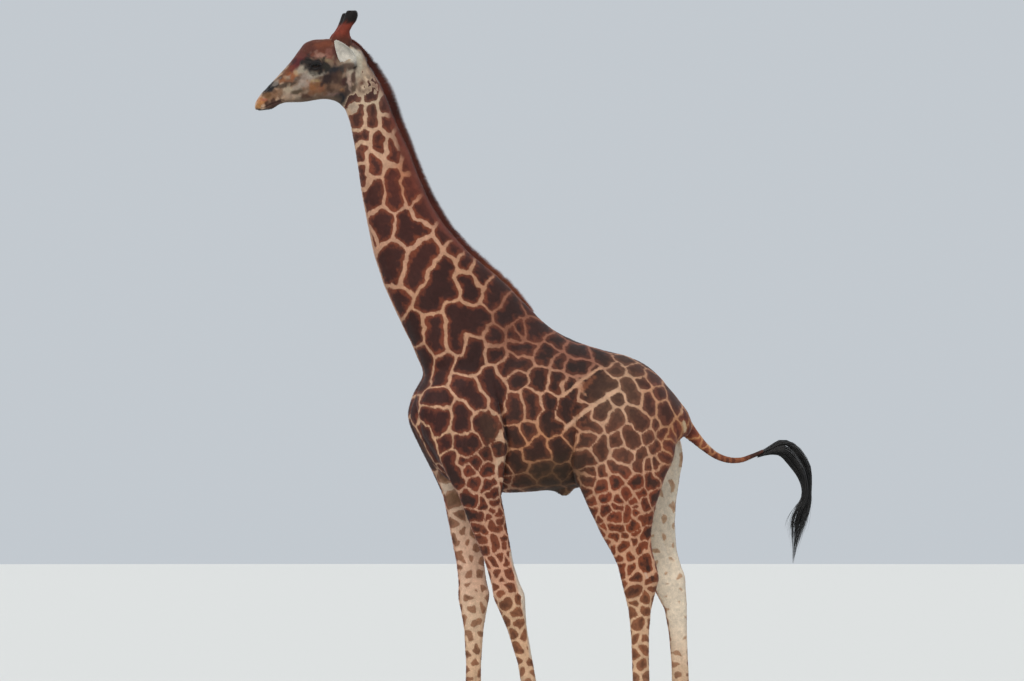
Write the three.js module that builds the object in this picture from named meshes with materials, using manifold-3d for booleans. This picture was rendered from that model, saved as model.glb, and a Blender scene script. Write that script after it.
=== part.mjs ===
// An adult bull giraffe, life size, standing still with its head up, its left feet between its right ones and its
// tail swung up behind it. Millimetres, +Z up, the nose towards -Y and the animal's left side at +X. The origin is on
// the ground, midway between the nose and the end of the tail.
//
// Head, neck, trunk, legs, tail and mane are lofts through rings. A ring stands across the body: it has two points
// in the side view, [y, z], a half-width across, a place x to the left of the middle, and two numbers for its outline.
import * as THREE from "three";
import Module from "manifold-3d";

const wasm = await Module();
wasm.setup();

// ---- Driving dimensions ----

const GAP = 0.4; // between two solids that touch
const CUT = 0.2; // taken from each side where one solid is parted from the next

// Heights of the leg's landmarks above the ground.
const CORONET = 96;
const PASTERN = 140;
const FETLOCK = 205;
const KNEE = 985;
const HOCK = 1115;
const ELBOW = 1765;
const STIFLE = 1755;

// Where each leg's middle line passes, y by landmark, and which side it is on.
const STANCE = {
  fore_left: { side: 1, shoulder: -537, elbow: -446, knee: -214, fetlock: -62 },
  fore_right: { side: -1, shoulder: -535, elbow: -463, knee: -393, fetlock: -400 },
  hind_left: { side: 1, hip: 580, stifle: 541, shank: 577, hock: 678, cannon: 678, fetlock: 692 },
  hind_right: { side: -1, hip: 660, stifle: 746, shank: 836, hock: 950, cannon: 1018, fetlock: 1050 },
};
const FOOT_FORWARD = 50; // the coronet lies this far in front of the fetlock

// Down the foreleg: height, half-depth front to back, half-width, how far out its middle line stands.
const FORELEG = [
  [2560, 150, 40, 168],
  [2460, 245, 80, 178],
  [2305, 284, 102, 186],
  [2095, 279, 108, 190],
  [1880, 212, 98, 195],
  [ELBOW, 178, 88, 195],
  [1690, 151, 80, 194],
  [1555, 136, 73, 190],
  [1385, 116, 65, 184],
  [1235, 98, 60, 179],
  [1100, 99, 66, 175],
  [KNEE, 103, 72, 173],
  [890, 86, 60, 172],
  [790, 69, 47, 171],
  [560, 54, 40, 170],
  [330, 56, 43, 170],
  [FETLOCK, 74, 62, 170],
  [PASTERN, 62, 60, 170],
  [CORONET, 84, 86, 170],
];

// Down the hind leg, in the same way.
const HINDLEG = [
  [2500, 90, 40, 150],
  [2400, 190, 80, 158],
  [2240, 308, 118, 172],
  [2070, 358, 134, 180],
  [1900, 336, 132, 186],
  [STIFLE, 294, 120, 194],
  [1640, 248, 106, 198],
  [1515, 202, 92, 196],
  [1420, 174, 80, 192],
  [1320, 147, 68, 187],
  [1220, 138, 60, 183],
  [HOCK, 130, 62, 180],
  [1020, 106, 54, 178],
  [920, 80, 46, 177],
  [760, 65, 41, 175],
  [560, 60, 40, 173],
  [330, 62, 43, 172],
  [FETLOCK, 76, 62, 170],
  [PASTERN, 64, 60, 170],
  [CORONET, 84, 84, 170],
];

// Along the trunk from the breast to the tail: y, top, underside, half-width, how much narrower it is on top.
const TRUNK = [
  [-877, 2262, 2222, 40, 0],
  [-868, 2300, 2170, 92, 0],
  [-840, 2362, 2110, 142, 0],
  [-800, 2450, 2030, 182, 0.02],
  [-730, 2560, 1915, 218, 0.05],
  [-640, 2660, 1820, 240, 0.08],
  [-525, 2760, 1752, 258, 0.12],
  [-385, 2855, 1716, 272, 0.2],
  [-250, 2915, 1708, 290, 0.28],
  [-110, 2925, 1710, 312, 0.34],
  [30, 2880, 1720, 338, 0.34],
  [165, 2788, 1732, 356, 0.28],
  [305, 2727, 1750, 362, 0.22],
  [445, 2685, 1785, 355, 0.16],
  [580, 2655, 1850, 338, 0.1],
  [725, 2604, 1920, 312, 0.06],
  [830, 2520, 1985, 278, 0.04],
  [930, 2408, 2030, 225, 0],
  [1032, 2282, 2078, 140, 0],
  [1078, 2190, 2145, 50, 0],
];

// Down the neck: the throat's point, the nape's point, half-width, how much narrower it is along the nape.
const NECK = [
  [[-1370, 4420], [-1200, 4630], 70, 0.1],
  [[-1318, 4306], [-1140, 4568], 92, 0.1],
  [[-1298, 4250], [-1070, 4455], 92, 0.12],
  [[-1277, 4188], [-1012, 4323], 92, 0.14],
  [[-1252, 4065], [-952, 4178], 96, 0.16],
  [[-1224, 3895], [-872, 4013], 104, 0.18],
  [[-1195, 3700], [-812, 3853], 115, 0.2],
  [[-1155, 3500], [-727, 3663], 128, 0.22],
  [[-1115, 3315], [-632, 3518], 145, 0.24],
  [[-1045, 3105], [-462, 3333], 165, 0.28],
  [[-950, 2895], [-252, 3166], 188, 0.32],
  [[-852, 2705], [-52, 2976], 210, 0.36],
  [[-796, 2572], [118, 2806], 218, 0.38],
  [[-710, 2420], [240, 2680], 200, 0.38],
];
const NECK_CUT = { at: [-1185, 3610], along: [-0.38, 0.925] }; // parts the neck's two lengths
const HEAD_CUT = { at: [-1268, 4520], along: [-0.957, 0.29] }; // behind the ears and the angle of the jaw
const TRUNK_CUT = { at: [-420, 2715], along: [-0.32, 0.947] };

// Along the head from the lips to the nape: the lower point, the upper point, half-width, squareness of the ring,
// how much wider it is above than below.
const HEAD = [
  [[-1922, 4268], [-1925, 4292], 26, 2.2, 0],
  [[-1908, 4256], [-1912, 4330], 48, 2.4, 0],
  [[-1862, 4265], [-1886, 4372], 59, 2.5, 0],
  [[-1805, 4271], [-1852, 4412], 60, 2.5, -0.05],
  [[-1762, 4300], [-1814, 4452], 56, 2.4, -0.08],
  [[-1715, 4317], [-1768, 4502], 58, 2.3, -0.1],
  [[-1650, 4320], [-1715, 4560], 68, 2.2, -0.14],
  [[-1590, 4322], [-1668, 4616], 80, 2.2, -0.12],
  [[-1530, 4333], [-1628, 4672], 92, 2.2, 0],
  [[-1470, 4345], [-1588, 4726], 100, 2.2, 0.1],
  [[-1415, 4346], [-1530, 4750], 103, 2.2, 0.16],
  [[-1374, 4339], [-1468, 4754], 104, 2.2, 0.16],
  [[-1342, 4315], [-1400, 4760], 103, 2.2, 0.1],
  [[-1316, 4290], [-1325, 4764], 101, 2.2, 0],
  [[-1280, 4300], [-1262, 4744], 96, 2.1, -0.05],
  [[-1228, 4370], [-1208, 4702], 86, 2, 0],
  [[-1168, 4470], [-1165, 4625], 50, 2, 0],
];
const EYE = { at: [95, -1524, 4566], radius: 33 };
const BROW = { at: [72, -1522, 4574], size: [45, 80, 60] }; // the bony rim that carries the eye

// A horn's middle line from inside the skull to its tip: [x, y, z], radius.
const OSSICONE = [
  [[52, -1362, 4712], 50],
  [[56, -1354, 4750], 48],
  [[61, -1343, 4782], 42],
  [[67, -1327, 4818], 36],
  [[73, -1308, 4852], 35],
  [[79, -1291, 4882], 38],
  [[83, -1281, 4912], 36],
  [[86, -1275, 4938], 20],
];

// An ear's middle line from the skull to its tip: [x, y, z], half-width, half-thickness.
const EAR = [
  [[82, -1284, 4572], 26, 22],
  [[99, -1295, 4595], 40, 20],
  [[116, -1312, 4620], 52, 13],
  [[133, -1336, 4650], 55, 9],
  [[148, -1362, 4681], 46, 7],
  [[160, -1385, 4706], 31, 6],
  [[168, -1400, 4722], 15, 5],
  [[171, -1406, 4729], 5, 3],
];
const EAR_FACES = [0.86, -0.5, 0.1]; // where the ear's hollow side looks, on the left
const EAR_CUP = 0.5; // how far the ear's rims curl forward, as a share of its half-width

// The mane's outer edge from the poll to the withers, and how far its root lies inside the neck.
const MANE_EDGE = [
  [-1178, 4700],
  [-1138, 4648],
  [-1085, 4580],
  [-1005, 4460],
  [-945, 4330],
  [-870, 4150],
  [-800, 3970],
  [-730, 3803],
  [-658, 3665],
  [-570, 3520],
  [-472, 3415],
  [-385, 3335],
  [-290, 3250],
  [-200, 3175],
  [-127, 3105],
  [-65, 3018],
  [-10, 2945],
];
const MANE_HEIGHT = 120; // from its edge to its root, of which about 80 shows
const MANE_HALF_WIDTH = 17;
const MANE_PART = [-730, 3803]; // where the upper length ends

// The tail's middle line and its radius, then the brush of long hair in the same way, with its half-width.
const TAIL = [
  [[915, 2280], 62],
  [[985, 2222], 58],
  [[1045, 2152], 47],
  [[1098, 2098], 38],
  [[1168, 2030], 29],
  [[1250, 1969], 24],
  [[1338, 1937], 22],
  [[1428, 1936], 20],
  [[1510, 1964], 18],
  [[1588, 1997], 16],
];
const BRUSH = [
  [[1598, 2002], 16, 16],
  [[1665, 2016], 40, 28],
  [[1735, 2016], 62, 40],
  [[1815, 1960], 64, 48],
  [[1872, 1870], 54, 48],
  [[1891, 1760], 36, 44],
  [[1885, 1672], 36, 36],
  [[1840, 1572], 54, 34],
  [[1803, 1472], 46, 32],
  [[1795, 1380], 25, 28],
  [[1787, 1300], 12, 14],
  [[1780, 1230], 4, 4],
];

const SHEATH = { at: [0, 186, 1758], size: [42, 64, 66] }; // the fold that hangs under the belly

// A hoof has two claws. Each ring: height, toe's y and heel's y from the coronet's middle, half-width.
const CLAW = [
  [0, -148, 108, 52],
  [26, -141, 108, 53],
  [CORONET - GAP, -84, 84, 42],
];
const CLAW_OUT = 46; // a claw's middle from the foot's
const CLEFT = 1.5; // half the cleft between the two claws

// ---- Lofts ----

// A curve through values at knots that never swings past them.
function curveThrough(knots, values) {
  const last = values.length - 1;
  const secant = knots.slice(1).map((knot, i) => (values[i + 1] - values[i]) / (knot - knots[i]));
  const slope = values.map((_, i) => {
    if (i === 0 || i === last) return secant[Math.min(i, last - 1)];
    const [before, after] = [secant[i - 1], secant[i]];
    return before * after <= 0 ? 0 : (2 * before * after) / (before + after);
  });
  return (t) => {
    const after = knots.findIndex((knot) => knot > t);
    const i = after < 1 ? last - 1 : after - 1;
    const h = knots[i + 1] - knots[i];
    const s = (t - knots[i]) / h;
    return (
      values[i] * (1 + 2 * s) * (1 - s) ** 2 +
      slope[i] * h * s * (1 - s) ** 2 +
      values[i + 1] * s * s * (3 - 2 * s) +
      slope[i + 1] * h * s * s * (s - 1)
    );
  };
}

// The rings between the given ones: each span is cut into `steps`, and every number of a ring follows its own curve.
function fillIn(rings, steps) {
  const middles = rings.map((r) => new THREE.Vector3(r.x, (r.low[0] + r.high[0]) / 2, (r.low[1] + r.high[1]) / 2));
  const knots = [0];
  middles.slice(1).forEach((m, i) => knots.push(knots[i] + m.distanceTo(middles[i])));
  const channel = (read) => curveThrough(knots, rings.map(read));
  const made = {
    lowY: channel((r) => r.low[0]),
    lowZ: channel((r) => r.low[1]),
    highY: channel((r) => r.high[0]),
    highZ: channel((r) => r.high[1]),
    x: channel((r) => r.x),
    wide: channel((r) => r.wide),
    square: channel((r) => r.square),
    flare: channel((r) => r.flare),
  };
  const at = (t) => Object.fromEntries(Object.entries(made).map(([name, curve]) => [name, curve(t)]));
  const filled = [at(0)];
  knots.slice(1).forEach((knot, i) => {
    for (let k = 1; k <= steps; k++) filled.push(at(knots[i] + ((knot - knots[i]) * k) / steps));
  });
  return filled;
}

// The points of one ring. `grow` moves every point outwards by about that much.
function outline(ring, sides, grow) {
  const middle = new THREE.Vector3(ring.x, (ring.lowY + ring.highY) / 2, (ring.lowZ + ring.highZ) / 2);
  const up = new THREE.Vector3(0, ring.highY - ring.lowY, ring.highZ - ring.lowZ).multiplyScalar(0.5);
  const half = up.length();
  up.normalize();
  const power = 2 / ring.square;
  return Array.from({ length: sides }, (_, k) => {
    const angle = (2 * Math.PI * k) / sides;
    const across = Math.sign(Math.cos(angle)) * Math.abs(Math.cos(angle)) ** power;
    const along = Math.sign(Math.sin(angle)) * Math.abs(Math.sin(angle)) ** power;
    const point = middle.clone().addScaledVector(up, along * (half + grow));
    point.x += across * (1 + ring.flare * along) * (ring.wide + grow);
    return point;
  });
}

// A closed solid through rows of points, each row a ring of the same length, wound so that its faces point out.
function solidThrough(rows) {
  const sides = rows[0].length;
  const points = rows.flat();
  const triangles = [];
  for (let r = 0; r + 1 < rows.length; r++) {
    for (let k = 0; k < sides; k++) {
      const [a, b] = [r * sides + k, r * sides + ((k + 1) % sides)];
      triangles.push([a, b, a + sides], [b, b + sides, a + sides]);
    }
  }
  for (const [row, turned] of [[0, true], [rows.length - 1, false]]) {
    const centre = points.length;
    points.push(rows[row].reduce((sum, p) => sum.add(p), new THREE.Vector3()).divideScalar(sides));
    for (let k = 0; k < sides; k++) {
      const [a, b] = [row * sides + k, row * sides + ((k + 1) % sides)];
      triangles.push(turned ? [b, a, centre] : [a, b, centre]);
    }
  }
  const volume = triangles.reduce((sum, t) => sum + points[t[0]].dot(points[t[1]].clone().cross(points[t[2]])), 0);
  const wound = volume > 0 ? triangles : triangles.map(([a, b, c]) => [a, c, b]);
  return new wasm.Manifold(
    new wasm.Mesh({
      numProp: 3,
      vertProperties: new Float32Array(points.flatMap((p) => p.toArray())),
      triVerts: new Uint32Array(wound.flat()),
    }),
  );
}

function loft(rings, { sides = 24, steps = 1, grow = 0 } = {}) {
  const whole = rings.map((r) => ({ x: 0, square: 2, flare: 0, ...r }));
  return solidThrough(fillIn(whole, steps).map((ring) => outline(ring, sides, grow)));
}

// Rings square to a line in the side view, from rows of [[y, z], half-depth, half-width].
function ringsAlong(rows) {
  return rows.map(([[y, z], depth, wide = depth], i) => {
    const [[y0, z0]] = rows[Math.max(i - 1, 0)];
    const [[y1, z1]] = rows[Math.min(i + 1, rows.length - 1)];
    const length = Math.hypot(y1 - y0, z1 - z0);
    const [ny, nz] = [(-(z1 - z0) / length) * depth, ((y1 - y0) / length) * depth];
    return { low: [y - ny, z - nz], high: [y + ny, z + nz], wide };
  });
}

function ellipsoid({ at, size }, sides = 20) {
  const [x, y, z] = at;
  const rows = sides / 2;
  const rings = Array.from({ length: rows - 1 }, (_, i) => {
    const angle = (Math.PI * (i + 1)) / rows;
    const [reach, round] = [-Math.cos(angle) * size[1], Math.sin(angle)];
    return { x, low: [y + reach, z - size[2] * round], high: [y + reach, z + size[2] * round], wide: size[0] * round };
  });
  return loft(rings, { sides });
}

// ---- Parts of the body ----

const trunkRings = TRUNK.map(([y, top, underside, wide, narrow]) => ({
  low: [y, underside],
  high: [y, top],
  wide,
  square: 2.15,
  flare: -narrow,
}));
const neckRings = NECK.map(([throat, nape, wide, narrow]) => ({
  low: throat,
  high: nape,
  wide,
  square: 2.2,
  flare: -narrow,
}));
const headRings = HEAD.map(([low, high, wide, square, flare]) => ({ low, high, wide, square, flare }));

const trunk = (grow = 0) => loft(trunkRings, { sides: 24, grow });
const neck = (grow = 0) => loft(neckRings, { sides: 20, grow });
const head = (grow = 0) => {
  const brows = [1, -1].map((side) => {
    const [x, y, z] = BROW.at;
    return ellipsoid({ at: [side * x, y, z], size: BROW.size.map((s) => s + grow) }, 14);
  });
  return wasm.Manifold.union([loft(headRings, { sides: 22, grow }), ...brows]);
};

// A leg from the shoulder or hip to the coronet. `line` holds its middle line's [height, y] from the top down.
function leg(rows, line, side, grow = 0) {
  const middle = curveThrough(line.map(([z]) => -z), line.map(([, y]) => y));
  const rings = rows.map(([z, depth, wide, out]) => {
    const y = middle(-z);
    return { x: side * out, low: [y - depth, z], high: [y + depth, z], wide, square: 2.15 };
  });
  return loft(rings, { sides: 14, grow });
}

function forelegLine({ shoulder, elbow, knee, fetlock }) {
  return [
    [2560, shoulder + 90],
    [2305, shoulder - 15],
    [2095, shoulder + 10],
    [ELBOW, elbow],
    [1235, elbow + 0.68 * (knee - elbow)],
    [KNEE, knee],
    [FETLOCK, fetlock],
    [CORONET, fetlock - FOOT_FORWARD],
  ];
}

function hindlegLine({ hip, stifle, shank, hock, cannon, fetlock }) {
  return [
    [2500, hip + 20],
    [2240, hip],
    [STIFLE, stifle],
    [1445, shank],
    [HOCK, hock],
    [885, cannon],
    [FETLOCK, fetlock],
    [CORONET, fetlock - FOOT_FORWARD],
  ];
}

const legs = Object.entries(STANCE).map(([name, stance]) => {
  const fore = "elbow" in stance;
  const build = (grow) => leg(fore ? FORELEG : HINDLEG, (fore ? forelegLine : hindlegLine)(stance), stance.side, grow);
  return { name, stance, solid: build(0), grown: build(GAP) };
});

// Keeps what lies on the side that `along` points to, `away` past the cut, or on the other side of it.
function beyond(solid, { at, along }, away = CUT) {
  return solid.trimByPlane([0, ...along], at[0] * along[0] + at[1] * along[1] + away);
}

function before(solid, { at, along }) {
  return beyond(solid, { at, along: along.map((a) => -a) });
}

function earSolid(side) {
  const line = new THREE.CatmullRomCurve3(EAR.map(([[x, y, z]]) => new THREE.Vector3(side * x, y, z)));
  const faces = new THREE.Vector3(side * EAR_FACES[0], EAR_FACES[1], EAR_FACES[2]);
  const sides = 10;
  const rows = EAR.map(([, wide, thick], i) => {
    const t = i / (EAR.length - 1);
    const middle = line.getPoint(t);
    const tangent = line.getTangent(t);
    const normal = faces.clone().addScaledVector(tangent, -faces.dot(tangent)).normalize();
    const across = new THREE.Vector3().crossVectors(normal, tangent);
    return Array.from({ length: sides }, (_, k) => {
      const angle = (2 * Math.PI * k) / sides;
      const [u, v] = [Math.cos(angle), Math.sin(angle)];
      const curl = EAR_CUP * wide * (u * u - 0.5) * Math.min(1, 3 * t);
      return middle.clone().addScaledVector(across, u * wide).addScaledVector(normal, v * thick + curl);
    });
  });
  return solidThrough(rows);
}

function ossiconeSolid(side, grow = 0) {
  const line = new THREE.CatmullRomCurve3(OSSICONE.map(([[x, y, z]]) => new THREE.Vector3(side * x, y, z)));
  const sides = 10;
  const rows = OSSICONE.map(([, radius], i) => {
    const t = i / (OSSICONE.length - 1);
    const tangent = line.getTangent(t);
    const across = new THREE.Vector3(1, 0, 0).addScaledVector(tangent, -tangent.x).normalize();
    const normal = new THREE.Vector3().crossVectors(tangent, across);
    return Array.from({ length: sides }, (_, k) => {
      const angle = (2 * Math.PI * k) / sides;
      return line.getPoint(t).addScaledVector(across, Math.cos(angle) * (radius + grow))
        .addScaledVector(normal, Math.sin(angle) * (radius + grow));
    });
  });
  return solidThrough(rows);
}

// The mane stands on the nape: its rings run from the edge inwards, square to the edge.
function maneSolid() {
  const rows = MANE_EDGE.map(([y, z], i) => {
    const [y0, z0] = MANE_EDGE[Math.max(i - 1, 0)];
    const [y1, z1] = MANE_EDGE[Math.min(i + 1, MANE_EDGE.length - 1)];
    const length = Math.hypot(y1 - y0, z1 - z0);
    const inward = [((z1 - z0) / length) * MANE_HEIGHT, (-(y1 - y0) / length) * MANE_HEIGHT];
    return { low: [y + inward[0], z + inward[1]], high: [y, z], wide: MANE_HALF_WIDTH, square: 2.4, flare: -0.35 };
  });
  return loft(rows, { sides: 8 });
}

function claw(stance, inner) {
  const y = stance.fetlock - FOOT_FORWARD;
  const middle = stance.side * FORELEG.at(-1)[3];
  const outward = stance.side * (inner ? -1 : 1);
  const x = middle + outward * CLAW_OUT;
  const rings = CLAW.map(([z, toe, heel, wide]) => ({
    x, low: [y + toe, z], high: [y + heel, z], wide, square: 2.5, flare: 0.2,
  }));
  return loft(rings, { sides: 14 }).trimByPlane([outward, 0, 0], outward * middle + CLEFT);
}

// ---- The nodes ----

const COLOURS = {
  coat: { color: 0x7a4a2e, roughness: 0.85 },
  mane: { color: 0x5a2c1c, roughness: 0.9 },
  brush: { color: 0x14110f, roughness: 0.8 },
  horn: { color: 0x5b2a1a, roughness: 0.85 },
  ear: { color: 0xc9bfae, roughness: 0.85 },
  eye: { color: 0x0d0a08, roughness: 0.1 },
  hoof: { color: 0x3a2c22, roughness: 0.6 },
};

const giraffe = new THREE.Group();

function addNode(name, solid, finish) {
  const { vertProperties, triVerts } = solid.getMesh();
  const geometry = new THREE.BufferGeometry();
  geometry.setAttribute("position", new THREE.BufferAttribute(vertProperties, 3));
  geometry.setIndex(new THREE.BufferAttribute(triVerts, 1));
  geometry.computeVertexNormals();
  const mesh = new THREE.Mesh(geometry, new THREE.MeshStandardMaterial({ ...COLOURS[finish], metalness: 0 }));
  mesh.name = name;
  giraffe.add(mesh);
}

const sided = [["left", 1], ["right", -1]];
const eyeAt = (side) => [side * EYE.at[0], EYE.at[1], EYE.at[2]];
const eyeSize = (grow) => [EYE.radius + grow, EYE.radius + grow, EYE.radius + grow];

const bulk = wasm.Manifold.union([trunk(), ellipsoid(SHEATH, 12)]);
const sockets = sided.map(([, side]) => ellipsoid({ at: eyeAt(side), size: eyeSize(GAP) }, 14));
const body = wasm.Manifold.union([bulk, neck(), head()]);
const torso = before(body, TRUNK_CUT);

addNode("head", beyond(body, HEAD_CUT).subtract(wasm.Manifold.union(sockets)), "coat");
addNode("neck_upper", beyond(before(body, HEAD_CUT), NECK_CUT), "coat");
addNode("neck_lower", beyond(before(before(body, HEAD_CUT), NECK_CUT), TRUNK_CUT), "coat");
addNode("trunk", legs.reduce((rest, { grown }) => rest.subtract(grown), torso), "coat");

const grownBody = wasm.Manifold.union([trunk(GAP), neck(GAP), head(GAP)]);
for (const [name, side] of sided) {
  addNode(`eye_${name}`, ellipsoid({ at: eyeAt(side), size: eyeSize(0) }, 14), "eye");
  addNode(`ear_${name}`, earSolid(side).subtract(grownBody).subtract(ossiconeSolid(side, GAP)), "ear");
  addNode(`ossicone_${name}`, ossiconeSolid(side).subtract(grownBody), "horn");
}

const mane = maneSolid().subtract(grownBody);
const manePart = { at: MANE_PART, along: NECK_CUT.along };
addNode("mane_upper", beyond(mane, manePart), "mane");
addNode("mane_lower", before(mane, manePart), "mane");

const tail = loft(ringsAlong(TAIL), { sides: 12 });
addNode("tail", tail.subtract(wasm.Manifold.union([grownBody, ...legs.map(({ grown }) => grown)])), "coat");
addNode("tail_brush", loft(ringsAlong(BRUSH), { sides: 10 }), "brush");

const neckBase = beyond(grownBody, TRUNK_CUT, -GAP);
for (const { name, stance, solid } of legs) {
  const joint = "elbow" in stance ? KNEE : HOCK;
  const parting = { at: [0, joint], along: [0, 1] };
  const limb = solid.subtract(neckBase);
  addNode(`leg_${name}_upper`, beyond(limb, parting), "coat");
  addNode(`leg_${name}_lower`, before(limb, parting), "coat");
  addNode(`hoof_${name}_outer`, claw(stance, false), "hoof");
  addNode(`hoof_${name}_inner`, claw(stance, true), "hoof");
}

export default giraffe;
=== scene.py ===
"""The looks of a life-size standing bull giraffe: one skin with a coat of tufts, and its eyes, ears, horns,
hooves, mane and tail brush. Metres, +Z up, the nose towards -Y, the animal's left side at +X.

Places that were read in the side view are given as (y, z) on the plane x = 0, as the camera sees them."""
import math

import bmesh
import bpy
import numpy as np
from mathutils import Matrix, Vector
from mathutils.bvhtree import BVHTree


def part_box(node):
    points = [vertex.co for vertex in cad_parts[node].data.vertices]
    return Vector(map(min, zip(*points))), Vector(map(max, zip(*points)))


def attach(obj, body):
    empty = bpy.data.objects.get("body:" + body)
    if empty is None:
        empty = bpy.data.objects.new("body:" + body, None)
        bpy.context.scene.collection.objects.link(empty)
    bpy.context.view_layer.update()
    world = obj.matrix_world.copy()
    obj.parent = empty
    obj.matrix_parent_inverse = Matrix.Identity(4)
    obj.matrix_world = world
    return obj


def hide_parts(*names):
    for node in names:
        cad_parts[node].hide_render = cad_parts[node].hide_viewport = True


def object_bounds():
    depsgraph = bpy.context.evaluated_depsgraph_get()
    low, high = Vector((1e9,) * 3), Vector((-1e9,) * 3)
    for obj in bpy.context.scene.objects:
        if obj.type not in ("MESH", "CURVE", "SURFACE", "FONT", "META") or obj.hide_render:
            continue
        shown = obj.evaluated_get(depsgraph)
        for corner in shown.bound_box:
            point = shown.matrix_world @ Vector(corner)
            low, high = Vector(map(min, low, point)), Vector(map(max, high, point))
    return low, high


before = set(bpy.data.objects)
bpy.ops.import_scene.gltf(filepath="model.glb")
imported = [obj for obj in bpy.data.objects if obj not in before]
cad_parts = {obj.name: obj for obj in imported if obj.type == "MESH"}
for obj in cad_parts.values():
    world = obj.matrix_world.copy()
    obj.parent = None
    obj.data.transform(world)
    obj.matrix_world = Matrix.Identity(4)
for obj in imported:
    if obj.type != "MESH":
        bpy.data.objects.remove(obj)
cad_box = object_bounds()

BODY = "root"
SIDES = {"left": 1, "right": -1}
rng = np.random.default_rng(7)


# ---- Camera, floor and light ----

PHOTO_WIDTH = 1024
FOCAL_PIXELS = 4736
SENSOR = 36.0
CAMERA_TURN = math.radians(12)  # ahead of square on to the animal's left side
CAMERA_DISTANCE = 32.0
CAMERA_HEIGHT = 1.493
TURNED_ABOUT_Y = -0.020
AIM_LEFT_PIXELS = 21
AIM_UP_PIXELS = 184.5

outwards = Vector((math.cos(CAMERA_TURN), -math.sin(CAMERA_TURN), 0))
rightwards = Vector((math.sin(CAMERA_TURN), math.cos(CAMERA_TURN), 0))
camera_place = outwards * CAMERA_DISTANCE + Vector((0, TURNED_ABOUT_Y, CAMERA_HEIGHT))


def add_object(name, data):
    made = bpy.data.objects.new(name, data)
    bpy.context.scene.collection.objects.link(made)
    return made


def add_camera():
    yaw = math.atan(AIM_LEFT_PIXELS / FOCAL_PIXELS)
    pitch = math.atan(AIM_UP_PIXELS / FOCAL_PIXELS)
    level = -outwards * math.cos(yaw) - rightwards * math.sin(yaw)
    right = rightwards * math.cos(yaw) - outwards * math.sin(yaw)
    ahead = level * math.cos(pitch) + Vector((0, 0, math.sin(pitch)))
    up = right.cross(ahead)
    data = bpy.data.cameras.new("camera")
    data.sensor_width = SENSOR
    data.lens = FOCAL_PIXELS / PHOTO_WIDTH * SENSOR
    data.clip_end = 500
    camera = add_object("camera", data)
    camera.matrix_world = Matrix.Translation(camera_place) @ Matrix((right, up, -ahead)).transposed().to_4x4()
    bpy.context.scene.camera = camera


def add_sun(name, towards, strength, spread, colour):
    data = bpy.data.lights.new(name, "SUN")
    data.energy = strength
    data.angle = math.radians(spread)
    data.color = colour
    add_object(name, data).rotation_euler = Vector(towards).to_track_quat("-Z", "Y").to_euler()


def add_stage():
    world = bpy.data.worlds.new("studio")
    world.use_nodes = True
    background = world.node_tree.nodes["Background"]
    background.inputs["Color"].default_value = (0.80, 0.86, 0.92, 1)
    background.inputs["Strength"].default_value = 0.68
    bpy.context.scene.world = world
    add_sun("key", (-0.72, 0.35, -0.62), 1.8, 25, (1.0, 0.96, 0.90))
    add_sun("fill", (0.6, 0.5, -0.55), 0.8, 40, (0.92, 0.96, 1.0))
    add_sun("back", (0.3, -0.75, -0.6), 0.7, 40, (0.95, 0.97, 1.0))
    bpy.ops.mesh.primitive_circle_add(vertices=96, radius=150, fill_type="NGON")
    floor = bpy.context.object
    floor.name = "floor"
    material = bpy.data.materials.new("floor")
    material.use_nodes = True
    shader = material.node_tree.nodes["Principled BSDF"]
    shader.inputs["Base Color"].default_value = (0.62, 0.62, 0.60, 1)
    shader.inputs["Roughness"].default_value = 0.9
    floor.data.materials.append(material)
    bpy.context.scene.view_settings.view_transform = "Standard"


# ---- Arrays and meshes ----


def unit(vectors):
    return vectors / np.maximum(np.linalg.norm(vectors, axis=-1, keepdims=True), 1e-9)


def smoothstep(low, high, value):
    t = np.clip((value - low) / (high - low), 0, 1)
    return t * t * (3 - 2 * t)


def bell(value, middle, width):
    """1 where the value is `middle`, falling smoothly to nearly 0 at twice the width from it."""
    return np.exp(-(((value - middle) / width) ** 2))


def linear(colour):
    """A display colour, 0 to 255, as linear light."""
    c = np.asarray(colour, dtype=float) / 255
    return np.where(c <= 0.04045, c / 12.92, ((c + 0.055) / 1.055) ** 2.4)


def read(collection, name, width, kind=np.float32):
    values = np.empty(len(collection) * width, kind)
    collection.foreach_get(name, values)
    return values.reshape(-1, width)


def read_points(mesh):
    return read(mesh.vertices, "co", 3).astype(float)


def read_triangles(mesh):
    mesh.calc_loop_triangles()
    return read(mesh.loop_triangles, "vertices", 3, np.int32)


def write_points(mesh, points):
    mesh.vertices.foreach_set("co", np.asarray(points, np.float32).ravel())


def store_number(mesh, name, values):
    """Writes a number on each of a mesh's points for the materials to read."""
    mesh.attributes.new(name, "FLOAT", "POINT").data.foreach_set("value", np.asarray(values, np.float32))


def new_object(name, points, faces):
    """An object from an array of points and an array of faces that all have the same number of corners."""
    faces = np.asarray(faces, np.int32)
    mesh = bpy.data.meshes.new(name)
    mesh.vertices.add(len(points))
    write_points(mesh, points)
    mesh.loops.add(faces.size)
    mesh.loops.foreach_set("vertex_index", faces.ravel())
    mesh.polygons.add(len(faces))
    mesh.polygons.foreach_set("loop_start", np.arange(0, faces.size, faces.shape[1], dtype=np.int32))
    mesh.update(calc_edges=True)
    mesh.shade_smooth()
    return add_object(name, mesh)


def corners_of(points, triangles):
    return (points[triangles[:, k]] for k in range(3))


def areas_of(points, triangles):
    a, b, c = corners_of(points, triangles)
    return np.linalg.norm(np.cross(b - a, c - a), axis=1) / 2


def normals_of(points, triangles):
    a, b, c = corners_of(points, triangles)
    face = np.cross(b - a, c - a)
    count = len(points)
    total = [sum(np.bincount(triangles[:, k], face[:, axis], count) for k in range(3)) for axis in range(3)]
    return unit(np.stack(total, axis=1))


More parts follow.
